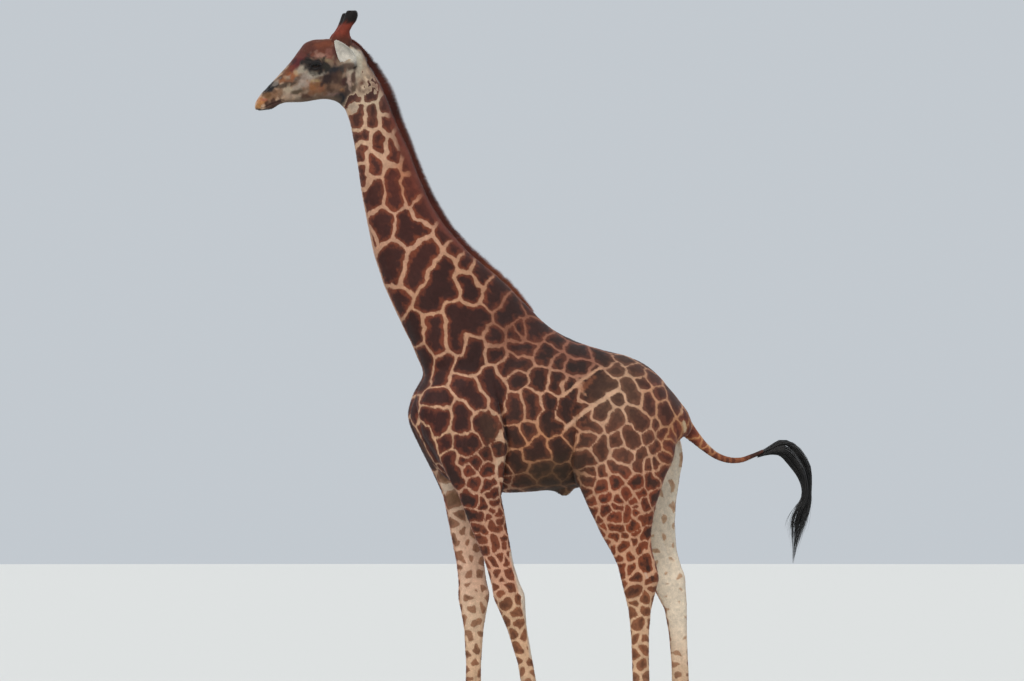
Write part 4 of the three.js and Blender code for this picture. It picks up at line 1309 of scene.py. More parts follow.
class Nodes:
    """A material's nodes, made and linked in one call each."""

    def __init__(self, name):
        self.material = bpy.data.materials.new(name)
        self.material.use_nodes = True
        self.tree = self.material.node_tree
        self.shader = self.tree.nodes["Principled BSDF"]

    def put(self, socket, value):
        """Sets a socket to a value, or links it to another node's socket."""
        if isinstance(value, bpy.types.NodeSocket):
            self.tree.links.new(value, socket)
        else:
            socket.default_value = value

    def add(self, kind, values=None, **settings):
        node = self.tree.nodes.new(kind)
        for key, value in settings.items():
            setattr(node, key, value)
        for key, value in (values or {}).items():
            self.put(node.inputs[key], value)
        return node

    def attribute(self, name, output):
        return self.add("ShaderNodeAttribute", attribute_name=name).outputs[output]

    def maths(self, operation, first, second=0.0, third=0.0):
        return self.add("ShaderNodeMath", {0: first, 1: second, 2: third}, operation=operation).outputs[0]

    def noise(self, scale, detail=2.0, roughness=0.6, vector=None):
        if vector is None:
            vector = self.add("ShaderNodeTexCoord").outputs["Object"]
        values = {"Vector": vector, "Scale": scale, "Detail": detail, "Roughness": roughness}
        return self.add("ShaderNodeTexNoise", values).outputs["Fac"]

    def spread(self, value, low, high, to_low=0.0, to_high=1.0):
        values = {"Value": value, "From Min": low, "From Max": high, "To Min": to_low, "To Max": to_high}
        return self.add("ShaderNodeMapRange", values, interpolation_type="SMOOTHSTEP").outputs["Result"]

    def blend(self, share, first, second, kind="MIX"):
        node = self.add("ShaderNodeMix", data_type="RGBA", blend_type=kind)
        for socket, value in ((node.inputs[0], share), (node.inputs[6], first), (node.inputs[7], second)):
            self.put(socket, value)
        return node.outputs[2]

    def to_shader(self, **values):
        for key, value in values.items():
            self.put(self.shader.inputs[key.replace("_", " ")], value)
        return self.material

    def bump(self, height, distance, strength=1.0, below=None):
        values = {"Height": height, "Distance": distance, "Strength": strength}
        if below is not None:
            values["Normal"] = below
        return self.add("ShaderNodeBump", values).outputs["Normal"]


def hide_material(name, bump_distance):
    """The coat's colours from the painted attributes, with ragged borders and hair-fine variation."""
    n = Nodes(name)
    mark = n.attribute("mark", "Fac")
    ragged = n.maths("MULTIPLY_ADD", n.noise(90, 3, 0.75), 0.010, -0.005)
    edge = n.maths("ADD", mark, ragged)
    patch = n.blend(
        n.spread(n.maths("ADD", mark, n.maths("MULTIPLY_ADD", n.noise(24, 3), 0.075, -0.040)), 0.0, 0.032),
        n.attribute("rim", "Color"), n.attribute("middle", "Color"),
    )
    colour = n.blend(n.spread(edge, -0.0035, 0.0035), n.attribute("line", "Color"), patch)
    fine = n.spread(n.noise(260, 2, 0.7), 0.3, 0.7, 0.86, 1.12)
    broad = n.spread(n.noise(9, 3, 0.6), 0.3, 0.7, 0.92, 1.07)
    tint = n.maths("ADD", n.attribute("tint", "Fac"), 1.0)
    mottled = n.spread(n.noise(34, 3, 0.65), 0.3, 0.7, 0.88, 1.10)
    grey = n.maths("MULTIPLY", n.maths("MULTIPLY", fine, n.maths("MULTIPLY", broad, mottled)), tint)
    shade = n.add("ShaderNodeCombineColor", {0: grey, 1: grey, 2: grey}).outputs[0]
    colour = n.blend(1.0, colour, shade, "MULTIPLY")
    roughness = n.maths("MULTIPLY_ADD", n.attribute("wet", "Fac"), -0.42, 0.74)
    normal = n.bump(n.noise(420, 2, 0.6), bump_distance, 0.7)
    normal = n.bump(n.noise(60, 3, 0.6), 0.0022, 0.35, normal)
    return n.to_shader(Base_Color=colour, Roughness=roughness, Normal=normal, Specular_IOR_Level=0.3,
                       Sheen_Weight=0.08, Sheen_Roughness=0.45)


def plain_material(name, dark, light, roughness, scale, bump_distance, stretch=(1, 1, 1)):
    """A two-tone mottled surface, its grain stretched along an axis."""
    n = Nodes(name)
    coordinates = n.add("ShaderNodeTexCoord").outputs["Object"]
    grain = n.add("ShaderNodeMapping", {"Vector": coordinates, "Scale": stretch}).outputs["Vector"]
    share = n.spread(n.noise(scale, 4, 0.65, grain), 0.3, 0.7)
    tint = n.maths("ADD", n.attribute("tint", "Fac"), 1.0)
    shade = n.add("ShaderNodeCombineColor", {0: tint, 1: tint, 2: tint}).outputs[0]
    colour = n.blend(share, (*linear(dark), 1), (*linear(light), 1))
    colour = n.blend(1.0, colour, shade, "MULTIPLY")
    rough = n.spread(n.noise(scale * 2, 2), 0.3, 0.7, roughness * 0.85, min(1, roughness * 1.15))
    normal = n.bump(n.noise(scale * 3, 3, 0.6, grain), bump_distance, 0.8)
    return n.to_shader(Base_Color=colour, Roughness=rough, Normal=normal)


def eye_material():
    n = Nodes("eye")
    across = n.attribute("pupil", "Fac")
    iris = n.blend(n.spread(n.noise(220, 3), 0.3, 0.7), (0.008, 0.004, 0.003, 1), (0.022, 0.011, 0.006, 1))
    colour = n.blend(n.spread(across, 0.9, 1.1), (0.002, 0.002, 0.003, 1), iris)
    colour = n.blend(n.spread(across, 2.6, 3.0), colour, (0.008, 0.006, 0.006, 1))
    return n.to_shader(Base_Color=colour, Roughness=0.12, Specular_IOR_Level=0.12, Coat_Weight=0.05,
                       Coat_Roughness=0.03)


# ---- The coat ----

# The way the coat lies in the side view: a place, and the hair's direction there, as (y, z).
LIE = [
    ((-1.90, 4.30), (0.50, 0.86)), ((-1.84, 4.40), (0.64, 0.77)), ((-1.72, 4.50), (0.64, 0.77)),
    ((-1.60, 4.66), (0.60, 0.80)), ((-1.50, 4.74), (0.95, 0.30)), ((-1.38, 4.76), (0.98, 0.10)),
    ((-1.75, 4.38), (0.90, 0.42)), ((-1.60, 4.44), (0.92, 0.38)), ((-1.60, 4.34), (1.0, 0.05)),
    ((-1.44, 4.42), (0.98, 0.10)), ((-1.42, 4.62), (0.95, 0.25)), ((-1.30, 4.60), (0.70, -0.60)),
    ((-1.30, 4.40), (0.60, -0.75)), ((-1.15, 4.50), (0.35, -0.93)), ((-1.15, 4.00), (0.20, -0.98)),
    ((-0.95, 3.70), (0.33, -0.94)), ((-0.65, 3.25), (0.48, -0.88)), ((-1.05, 3.30), (0.25, -0.97)),
    ((-0.30, 2.90), (0.70, -0.70)), ((-0.75, 2.60), (0.20, -0.98)), ((-0.50, 2.30), (0.35, -0.94)),
    ((-0.78, 2.10), (0.25, -0.97)), ((0.00, 2.70), (0.85, -0.50)), ((0.05, 2.30), (0.72, -0.70)),
    ((0.05, 1.85), (0.95, -0.30)), ((0.40, 2.60), (0.90, -0.42)), ((0.45, 2.20), (0.55, -0.83)),
    ((0.75, 2.45), (0.72, -0.70)), ((0.70, 2.10), (0.25, -0.97)), ((0.92, 2.15), (0.25, -0.97)),
    ((0.45, 1.75), (0.25, -0.97)), ((-0.35, 1.75), (0.10, -0.99)), ((-0.30, 1.20), (0.0, -1.0)),
    ((0.65, 1.20), (0.0, -1.0)), ((-0.20, 0.30), (0.0, -1.0)), ((0.80, 0.30), (0.0, -1.0)),
    ((1.05, 2.16), (0.66, -0.75)), ((1.18, 2.02), (0.80, -0.60)), ((1.30, 1.95), (0.97, -0.22)),
    ((1.43, 1.935), (1.0, 0.10)), ((1.56, 1.98), (0.90, 0.43)),
]

# Tuft sizes by height: length and width. The head and feet have the smallest.
TUFT_BY_HEIGHT = [(0.1, 0.012, 0.0026), (0.6, 0.014, 0.0030), (1.4, 0.017, 0.0034), (1.9, 0.020, 0.0040),
                  (3.2, 0.020, 0.0040), (4.1, 0.017, 0.0034), (4.3, 0.014, 0.0028)]
HEAD_TUFT = (0.0105, 0.0018)
MUZZLE_TUFT = (0.0055, 0.0014)


def lie_of_coat(points, normals):
    anchors = np.array([place for place, _ in LIE])
    ways = unit(np.array([way for _, way in LIE], float))
    share = nearness(points[:, 1:], anchors, 0.002)
    way = (share @ ways) / share.sum(axis=1, keepdims=True)
    lie = np.concatenate([np.zeros((len(points), 1)), way], axis=1)
    lie[:, 2] -= 0.25 * np.abs(normals[:, 1]) * (points[:, 2] < 4.2)
    lie -= normals * np.einsum("ij,ij->i", lie, normals)[:, None]
    return unit(lie)


def unwrapped(points, triangles):
    """Where each triangle's corners lie on an unwrap of this surface."""
    used, small = np.unique(triangles, return_inverse=True)
    sheet = new_object("unwrap", points[used], small.reshape(triangles.shape))
    bpy.context.view_layer.objects.active = sheet
    bpy.ops.object.select_all(action="DESELECT")
    sheet.select_set(True)
    sheet.data.uv_layers.new(name="OFBake")
    bpy.ops.object.mode_set(mode="EDIT")
    bpy.ops.mesh.select_all(action="SELECT")
    bpy.ops.uv.smart_project(angle_limit=1.15, island_margin=0.003, scale_to_bounds=True)
    bpy.ops.object.mode_set(mode="OBJECT")
    places = read(sheet.data.uv_layers["OFBake"].uv, "vector", 2).reshape(-1, 3, 2).astype(float)
    mesh = sheet.data
    bpy.data.objects.remove(sheet)
    bpy.data.meshes.remove(mesh)
    return places


TUFT_FACES = np.array([(0, 2, 1), (0, 3, 2), (0, 1, 3), (1, 2, 4), (2, 3, 4), (3, 1, 4)])
TUFT_SHADES = np.array([-0.08, 0, 0, 0.02, 0.08])  # darker at the root than at the tip
PATCH_SIZE = 0.003  # of a tuft on the unwrap
PATCH_CORNERS = PATCH_SIZE * np.array([(0, -0.5), (-0.5, 0), (0.5, 0), (0, 0.1), (0, 0.5)])


def tuft_faces(count):
    return (TUFT_FACES[None] + len(TUFT_SHADES) * np.arange(count)[:, None, None]).reshape(-1, 3)


def tuft_points(roots, normals, lie, length, width, lift, curl):
    """Five points to a tuft: its root in the skin, a ring of three along it, and its tip."""
    across = np.cross(normals, lie)
    length, width, lift = (np.asarray(v)[:, None] for v in (length, width, lift))
    sway = across * (curl[:, None] * length)
    ring = roots + lie * length * 0.42 + normals * lift * 0.6 + sway * 0.3
    points = [
        roots - normals * 0.0010, ring - across * width * 0.5, ring + across * width * 0.5,
        ring + normals * width * 0.30, roots + lie * length + normals * lift + sway,
    ]
    return np.stack(points, axis=1).reshape(-1, 3)


def add_tufts(name, shape, paint, tint, places, facing):
    """One mesh of many tufts. `paint`, `tint`, `places` and `facing` have a row for each tuft: its colours,
    its shade, its root's place on the unwrap, and the way its surface faces the light."""
    count, corners = len(tint), len(TUFT_SHADES)
    faces = tuft_faces(count)
    coat = new_object(name, shape, faces)
    shades = np.repeat(tint, corners) + np.tile(TUFT_SHADES, count)
    store_paint(coat.data, {k: np.repeat(v, corners, axis=0) for k, v in paint.items()}, shades)
    uv = (places[:, None] + PATCH_CORNERS[None]).reshape(-1, 2)[faces.ravel()]
    layer = coat.data.uv_layers.new(name="OFBake")
    layer.uv.foreach_set("vector", uv.astype(np.float32).ravel())
    own = normals_of(np.asarray(shape), faces)
    coat.data.normals_split_custom_set_from_vertices(unit(np.repeat(facing, corners, axis=0) + 0.25 * own))
    return coat


def scatter(points, triangles, density, count, source):
    """Random places on triangles: which triangle, and its corners' shares."""
    heap = np.cumsum(areas_of(points, triangles) * density)
    picks = (np.arange(count) + source.random(count)) / count * heap[-1]
    which = np.minimum(np.searchsorted(heap, picks), len(triangles) - 1)
    u, v = source.random((2, count))
    flip = u + v > 1
    u, v = np.where(flip, 1 - u, u), np.where(flip, 1 - v, v)
    return which, np.stack([1 - u - v, u, v], axis=1)


def at_roots(values, triangles, which, shares):
    corners = values[triangles[which]]
    return np.einsum("nk,nk...->n...", shares, corners)


def take_root(points, normals, triangles, density, count, source):
    """Random roots on triangles: a function that reads a value at each, their places on the unwrap, the roots
    themselves, and the ways that the surface faces there."""
    which, shares = scatter(points, triangles, density, count, source)
    places = np.einsum("nk,nkd->nd", shares, unwrapped(points, triangles)[which])

    def at(values):
        return at_roots(values, triangles, which, shares)

    return at, places, at(points), unit(at(normals))


def finish(piece, material, slot, *nodes):
    """A piece's material and its body, and the nodes that it stands for. The slot is not used."""
    piece.data.materials.append(material)
    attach(piece, BODY)
    if nodes:
        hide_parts(*nodes)


MAX_TUFTS = 33000  # to a piece, which keeps it under 200,000 triangles


def laid_down(shape, tree, lift):
    """The tufts with each tip that stands off the skin laid back to its lift."""
    tufts = shape.reshape(-1, len(TUFT_SHADES), 3)
    for tuft, rise in zip(tufts, lift):
        tip = Vector(tuft[-1])
        place, normal = tree.find_nearest(tip)[:2]
        if (tip - place).dot(normal) > 1.2 * rise:
            tuft[-1] = place + normal * rise
    return tufts.reshape(-1, 3)


def loosened(lie, up, looseness, source):
    """The ways that hairs lie, each one turned a little to one side."""
    return unit(lie + np.cross(up, lie) * source.normal(0, looseness, len(lie))[:, None])


def grow_coat(name, skin, chosen, per_metre, material):
    """Covers the chosen triangles of the skin with tufts."""
    points, normals, triangles, paint, tree = skin
    mine = triangles[chosen]
    area = areas_of(points, mine).sum()
    source = np.random.default_rng(sum(map(ord, name)))
    sizes = tuft_size(points[mine[:, 0]])
    density = bare_skin(points, normals)[mine[:, 0]] * (0.0040 / sizes[:, 1]) ** 1.2
    count = min(int(area * per_metre), MAX_TUFTS)
    at, places, roots, up = take_root(points, normals, mine, density, count, source)
    lie = loosened(lie_of_coat(roots, up), up, 0.13, source)
    sizes = tuft_size(roots) * source.uniform(0.7, 1.3, (count, 2))
    lift = coat_lift(roots, up) * source.uniform(0.5, 1.4, count)
    starts = roots - lie * sizes[:, :1] * 0.4
    shape = tuft_points(starts, up, lie, sizes[:, 0], sizes[:, 1], lift, source.normal(0, 0.08, count))
    shape = laid_down(shape, tree, lift)
    root_paint = {k: at(v) for k, v in paint.items()}
    coat = add_tufts(name, shape, root_paint, source.normal(0, 0.055, count), places, up)
    finish(coat, material, "coat")


def tuft_size(points):
    """Length and width of the tufts at each point."""
    rows = np.array(TUFT_BY_HEIGHT)
    sizes = np.stack([np.interp(points[:, 2], rows[:, 0], rows[:, k]) for k in (1, 2)], axis=1)
    head = (smoothstep(-0.04, 0.04, past_head_cut(points)) * (points[:, 2] > HEAD_FLOOR))[:, None]
    sizes += (np.array(HEAD_TUFT) - sizes) * head
    muzzle = smoothstep(1.68, 1.80, -points[:, 1])[:, None] * head
    sizes += (np.array(MUZZLE_TUFT) - sizes) * muzzle
    tail = smoothstep(1.0, 1.2, points[:, 1])[:, None] * (points[:, 2:] > TAIL_FLOOR)
    sizes += (np.array((0.013, 0.0026)) - sizes) * tail
    return sizes


def coat_lift(points, normals):
    """How far the tufts' tips stand off the skin."""
    lift = table_at(points[:, 2], COAT_DEPTH_BY_HEIGHT) * 0.9
    below = smoothstep(0.5, 0.9, -normals[:, 2]) * smoothstep(1.6, 1.7, points[:, 2]) * (points[:, 2] < 2.3)
    breast = smoothstep(0.5, 0.9, -normals[:, 1]) * smoothstep(1.75, 1.9, points[:, 2]) * (points[:, 2] < 2.6)
    coronet = smoothstep(0.14, 0.11, points[:, 2])
    lift *= 1 - 0.75 * smoothstep(1.0, 1.15, points[:, 1])
    return lift + 0.001 * below + 0.0005 * breast + 0.002 * coronet


def bare_skin(points, normals):
    """The share of the full coat at each point: none between the lids, in the nostrils or over the claws."""
    share = np.ones(len(points))
    for side in SIDES.values():
        near = np.linalg.norm(points - on_side(EYE_CENTRE, side), axis=1) < 0.07
        share[near] *= smoothstep(0.002, 0.007, lid_distance(points[near], side))
    head = (past_head_cut(points) > 0) & (points[:, 2] > HEAD_FLOOR)
    muzzle = head & (points[:, 1] < -1.7)
    share[muzzle] *= smoothstep(1.0, 1.3, in_nostril(seen(points[muzzle])))
    share[points[:, 2] < 0.100] = 0
    share[(points[:, 2] < 0.104) & (normals[:, 2] < -0.7)] = 0
    return share


# ---- Ears, horns, eyes and hooves ----

# An ear's middle line from the skull to its tip: x, y, z, half-width, half-thickness.
EAR = [
    (0.078, -1.276, 4.562, 0.026, 0.024), (0.099, -1.295, 4.595, 0.046, 0.018),
    (0.116, -1.312, 4.620, 0.056, 0.011), (0.133, -1.336, 4.650, 0.053, 0.0075),
    (0.148, -1.362, 4.681, 0.041, 0.006), (0.160, -1.385, 4.706, 0.026, 0.005),
    (0.168, -1.400, 4.722, 0.013, 0.004), (0.171, -1.406, 4.729, 0.004, 0.002),
]
EAR_FACES = (0.86, -0.5, 0.1)
EAR_CUP = 0.5
EAR_SIDES = 40
EAR_BACK = (236, 230, 218)
# the hollow's own colour, darkened as painted shade in the cup
EAR_HOLLOW_AND_SHADE = (212, 204, 192)
EAR_EDGE = (240, 234, 222)
# painted shadow at the ear's foot
EAR_FOOT_SHADOW = (96, 82, 72)

HORN_SIDES = 36
HORN_SHAFT = (122, 50, 34)
HORN_FOOT = (92, 50, 38)
HORN_BLACK = (24, 18, 17)
HORN_WORN = (142, 116, 98)
HAIR_TUFTS = {"ear": 6500, "horn": 7000}

# A horn's middle line from the skull to its tip: x, y, z, radius.
HORN = [
    (0.044, -1.350, 4.680, 0.050), (0.046, -1.343, 4.722, 0.068), (0.053, -1.341, 4.762, 0.063),
    (0.060, -1.336, 4.790, 0.047), (0.067, -1.327, 4.818, 0.0365), (0.073, -1.308, 4.852, 0.0345),
    (0.079, -1.291, 4.882, 0.037), (0.083, -1.281, 4.912, 0.0355), (0.0855, -1.2755, 4.931, 0.026),
    (0.0865, -1.2745, 4.940, 0.010),
]


def tube_axes(line):
    """Two axes across a line of points at each of them, the first one lying most nearly along x."""
    tangents = unit(np.gradient(line, axis=0))
    across = unit(np.array((1.0, 0, 0)) - tangents * tangents[:, :1])
    return across, np.cross(tangents, across)


def grow_hair(name, slot, form, paint, density, along, looseness, seed, hair, material):
    """Hair over an ear or a horn, lying along it. `hair` gives each root's length, width and lift."""
    points, normals, triangles = form
    source = np.random.default_rng(seed)
    count = HAIR_TUFTS[slot]
    at, places, roots, up = take_root(points, normals, triangles, density, count, source)
    lie = loosened(unit(along - up * (up @ along)[:, None]), up, looseness, source)
    length, width, lift = hair(at, roots, source.uniform(0.7, 1.3, count))
    shape = tuft_points(roots, up, lie, length, np.full(count, width), lift, source.normal(0, 0.1, count))
    root_paint = {k: at(v) for k, v in paint.items()}
    coat = add_tufts(name, shape, root_paint, source.normal(0, 0.06, count), places, up)
    finish(coat, material, slot)


def ear_shape(side):
    """The ear's points and triangles, and for each point whether it is inside, how far along and how near the
    rim."""
    rows = spline(EAR, 44)
    rows[:, 0] *= side
    line = rows[:, :3]
    tangents = unit(np.gradient(line, axis=0))
    faces = on_side(EAR_FACES, side)
    normal = unit(faces - tangents * (tangents @ faces)[:, None])
    across = np.cross(normal, tangents)
    u, v = np.cos(turns(EAR_SIDES)), np.sin(turns(EAR_SIDES))
    wide, thick = rows[:, 3:4], rows[:, 4:5]
    t = np.linspace(0, 1, len(rows))[:, None]
    curl = EAR_CUP * wide * (u**2 - 0.5) * np.minimum(1, 3 * t)
    hollow = -0.010 * np.maximum(v, 0) * bell(t, 0.42, 0.22)
    points = tube_points(line, across, normal, u * wide, v * thick + curl + hollow)
    inner = np.tile(v > 0, len(rows)).astype(float)
    along = np.repeat(t[:, 0], EAR_SIDES)
    rim = np.tile(np.abs(u), len(rows))
    return points, outward(points, tube_triangles(len(rows), EAR_SIDES)), inner, along, rim


def ear_paint(inner, along, rim):
    # painted shade in the ear's cup
    colour = mix(linear(EAR_BACK), linear(EAR_HOLLOW_AND_SHADE), inner * smoothstep(0.95, 0.55, rim) * 0.75)
    colour = mix(colour, linear(EAR_EDGE), smoothstep(0.85, 1.0, rim))
    # painted shadow darkens the ear towards its foot
    return plain_paint(mix(colour, linear(EAR_FOOT_SHADOW), smoothstep(0.16, 0.02, along) * 0.7))


def make_ear(name, side, material, coat_material):
    points, triangles, inner, along, rim = ear_shape(side)
    paint = ear_paint(inner, along, rim)
    ear = new_object(f"ear_{name}_form", points, triangles)
    store_paint(ear.data, paint)
    finish(ear, material, "ear", f"ear_{name}")

    def hair(at, roots, vary):
        fringe = at(inner) * (at(rim) > 0.6)
        return (0.010 + 0.010 * fringe) * vary * (1 - 0.55 * at(along)), 0.0016, 0.0012 + 0.0022 * fringe

    form = (points, normals_of(points, triangles), triangles)
    density = np.ones(len(triangles))
    to_tip = points[-1] - points[0]
    grow_hair(f"coat_ear_{name}", "ear", form, paint, density, to_tip, 0.2, 50 + side, hair, coat_material)


def horn_shape(side):
    rows = spline(HORN, 48)
    rows[:, 0] *= side
    across, normal = tube_axes(rows[:, :3])
    angle = turns(HORN_SIDES)
    height = np.linspace(0, 1, len(rows))[:, None]
    lumps = 1 + 0.05 * np.sin(3 * angle + 8 * height) * (1 - height) + 0.03 * np.sin(5 * angle - 14 * height)
    radius = rows[:, 3:4] * lumps
    narrow = 0.55 + 0.45 * smoothstep(0.12, 0.45, height)  # the base is long from front to back
    points = tube_points(rows[:, :3], across, normal, np.cos(angle) * radius * narrow, np.sin(angle) * radius)
    return rows, points, outward(points, tube_triangles(len(rows), HORN_SIDES))


def horn_paint(points):
    """Red-brown below, black to the worn top."""
    z = points[:, 2]
    colour = mix(linear(HORN_SHAFT), linear(HORN_FOOT), smoothstep(4.79, 4.73, z))
    colour = mix(colour, linear(HORN_BLACK), smoothstep(4.838, 4.862, z + 0.005 * waver(points, 0.02, 61)))
    bald = smoothstep(4.9285, 4.9345, z + 0.0015 * waver(points, 0.02, 62))
    return plain_paint(mix(colour, linear(HORN_WORN), 0.85 * bald), 0.35 * bald), bald


def make_horn(name, side, material, coat_material):
    rows, points, triangles = horn_shape(side)
    paint, bald = horn_paint(points)
    horn = new_object(f"ossicone_{name}_form", points, triangles)
    store_paint(horn.data, paint)
    finish(horn, material, "horn", f"ossicone_{name}")

    def hair(at, roots, vary):
        black = smoothstep(4.835, 4.865, roots[:, 2])
        ceiling = np.maximum(cad_box[1].z - 0.001 - roots[:, 2], 0.002)
        return np.minimum((0.012 + 0.010 * black) * vary, ceiling), 0.0019, 0.0012 + 0.0035 * black

    form = (points, normals_of(points, triangles), triangles)
    density = ((1 - bald) * (1 + 1.2 * smoothstep(4.86, 4.89, points[:, 2])))[triangles[:, 0]]
    to_tip = rows[-1, :3] - rows[8, :3]
    grow_hair(f"coat_ossicone_{name}", "horn", form, paint, density, to_tip, 0.16, 70 + side, hair,
              coat_material)


PUPIL = (0.0125, 0.0052)  # half-length and half-height
LASHES = 190  # to an eye


def make_eye(name, side, material):
    """The eyeball, with its cornea bulging forward."""
    centre, looks, ahead, up = eye_frame(side)
    rows, columns = 40, 56
    around = turns(columns)
    down = np.linspace(0.01, math.pi - 0.01, rows)[:, None]
    cornea = 1 + 0.045 * bell(down, 0, 0.42)
    ring = ahead * np.cos(around)[:, None] + up * np.sin(around)[:, None]
    shape = looks * np.cos(down)[..., None] + ring[None] * np.sin(down)[..., None]
    points = (centre + shape * (EYE_RADIUS * 0.975 * cornea)[..., None]).reshape(-1, 3)
    eye = new_object(f"eyeball_{name}", points, outward(points, tube_triangles(rows, columns)))
    offset = points - centre
    pupil = np.hypot(offset @ ahead / PUPIL[0], offset @ up / PUPIL[1])
    pupil[offset @ looks < 0] = 9
    store_number(eye.data, "pupil", pupil)
    finish(eye, material, "eye", f"eye_{name}")


def make_lashes(name, side, material):
    centre, looks, ahead, up = eye_frame(side)
    source = np.random.default_rng(90 + side)
    along = np.linspace(-0.96, 0.92, LASHES) + source.normal(0, 0.01, LASHES)
    rise = OPENING["top"] * np.sqrt(np.maximum(1 - along**2, 0)) + 0.0012
    turn, lift = along * OPENING["half_length"] / EYE_RADIUS, rise / EYE_RADIUS
    direction = unit(looks + ahead * np.tan(turn)[:, None] + up * np.tan(lift)[:, None])
    roots = centre + direction * (EYE_RADIUS + LID_THICK * 0.9)
    stray = source.normal(0, 0.07, (LASHES, 3))
    lie = unit(looks * 0.75 + ahead * (0.55 * along)[:, None] - up * 0.55 + stray)
    normal = unit(up - lie * (lie @ up)[:, None])
    length = 0.031 * source.uniform(0.7, 1.15, LASHES)
    shape = tuft_points(roots, normal, lie, length, np.full(LASHES, 0.0013), np.full(LASHES, -0.002),
                        source.normal(0, 0.05, LASHES))
    finish(new_object(f"lashes_{name}", shape, tuft_faces(LASHES)), material, "brush")


HOOF_TOP = 0.112  # inside the skin of the pastern
HOOF_RIBS = 0.0085
HOOF_SLANT = 0.070
HOOF_SQUARENESS = 0.8  # 1 is an ellipse


def make_hoof(node, material):
    """One claw inside the box of its solid, flat beneath and towards its twin, ribbed across."""
    low, high = (np.array(corner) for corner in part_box(node))
    leg = node.split("_", 1)[1].rsplit("_", 1)[0]
    middle = leg_middle(leg, 0.1)[1]
    rows, columns = 40, 44
    t = np.linspace(0, 1, rows)[:, None]
    angle = turns(columns)
    z = t * HOOF_TOP
    toe = low[1] + HOOF_SLANT * t**1.1
    heel = high[1] - 0.030 * t - 0.004 * (1 - t)
    u = np.sign(np.cos(angle)) * np.abs(np.cos(angle)) ** HOOF_SQUARENESS
    v = np.sign(np.sin(angle)) * np.abs(np.sin(angle)) ** HOOF_SQUARENESS
    ribs = 1 + 0.006 * np.sin(2 * math.pi * z / HOOF_RIBS) * smoothstep(0.02, 0.12, t) * (t < 0.93)
    tuck = 1 - 0.035 * bell(t, 0, 0.035)
    pointed = 1 - 0.22 * np.maximum(-v, 0) ** 2  # narrower at the toe
    twin = 1 if abs(high[0] - middle) < abs(low[0] - middle) else -1  # the side on which the other claw lies
    flat = high[0] if twin > 0 else low[0]
    half_width = (high[0] - low[0]) * (1 - 0.16 * smoothstep(0.0, 1.0, t)) * 0.5
    x = flat - twin * half_width + u * half_width * pointed * ribs * tuck
    x = x + (flat - x) * np.clip(twin * u, 0, 1) * (1 - pointed)
    y = (heel + toe) / 2 + v * (heel - toe) / 2 * ribs * tuck
    x = np.clip(x, low[0], high[0])
    y = np.clip(y, low[1], high[1])
    points = np.stack([x, y, z * np.ones(columns)], axis=-1).reshape(-1, 3)
    hoof = new_object(f"{node}_claw", points, outward(points, tube_triangles(rows, columns)))
    finish(hoof, material, "hoof", node)


# ---- Mane and tail brush ----

MANE_NODES = ("mane_upper", "mane_lower")
MANE_HALF_WIDTH = 0.019
MANE_REACH = 0.20  # beyond the longest hair
MANE_FOOT = (156, 84, 50)
MANE_TUFTS = 24000


def mane_room(roots, up):
    """How far it is from each root to the outer edge of the mane's solids."""
    tree = BVHTree.FromPolygons(*(part.tolist() for part in joined(solids(MANE_NODES))))
    room = 0.018 * smoothstep(4.60, 4.66, roots[:, 2])
    for k in range(len(roots)):
        far = Vector(roots[k] + up[k] * MANE_REACH)
        hit = tree.ray_cast(far, Vector(-up[k]), MANE_REACH)[0]
        room[k] = max(room[k], MANE_REACH - (hit - far).length if hit is not None else 0)
    return room


def mane_paint(roots):
    spots = waver(roots, 0.16, 72)
    colour = mix(linear(NAPE), linear(NAPE_DARK), smoothstep(-0.3, 0.8, spots) * 0.7)
    return plain_paint(mix(colour, linear(MANE_FOOT), smoothstep(-0.50, -0.25, roots[:, 1]) * 0.55))


def make_mane(points, normals, triangles, material):
    """Upright tufts from the nape out to the edge of the mane's solids."""
    centres = points[triangles].mean(axis=1)
    facing = normals[triangles[:, 0]]
    nape = (np.abs(centres[:, 0]) < MANE_HALF_WIDTH) & (facing[:, 1] * 0.8 + facing[:, 2] * 0.6 > 0.5)
    nape &= (centres[:, 1] > -1.285) & (centres[:, 1] < 0.02) & (centres[:, 2] > 2.85)
    source = np.random.default_rng(33)
    mine = triangles[nape]
    leaning = normals * (0.15, 1, 1)
    _, places, roots, up = take_root(points, leaning, mine, np.ones(len(mine)), MANE_TUFTS, source)
    room = mane_room(roots, up)
    kept = room > 0.012
    roots, up, room, places = roots[kept], up[kept], room[kept], places[kept]
    count = len(roots)
    down = unit(np.cross(up, (1.0, 0, 0)))
    down = np.where(down[:, 2:] > 0, -down, down)
    loose = smoothstep(3.45, 3.25, roots[:, 2])
    shortest = 0.90 - 0.25 * loose
    length = (room + 0.003) * (shortest + (1.03 - shortest) * source.uniform(0, 1, count) ** 0.6)
    length *= 1 + (0.01 + 0.07 * loose) * waver(roots, 0.05, 71)
    length += 0.020 * smoothstep(4.15, 4.45, roots[:, 2]) * smoothstep(4.70, 4.62, roots[:, 2])
    way = unit(up + down * (0.40 - 0.15 * loose + source.normal(0, 0.10, count))[:, None]
               + np.array((1.0, 0, 0)) * source.normal(0, 0.05, (count, 1)))
    thick_way = unit(np.cross((1.0, 0, 0), way))
    width = source.uniform(0.0024, 0.0046, count)
    shape = tuft_points(roots, thick_way, way, length, width, 0.004 * source.normal(0, 1, count),
                        source.normal(0, 0.05, count))
    side = np.clip(roots[:, :1] / 0.006, -1, 1) * np.array((0.9, 0, 0))
    mane = add_tufts("mane_hair", shape, mane_paint(roots), source.normal(0, 0.10, count), places,
                     unit(way * 0.6 + side))
    finish(mane, material, "mane", *MANE_NODES)


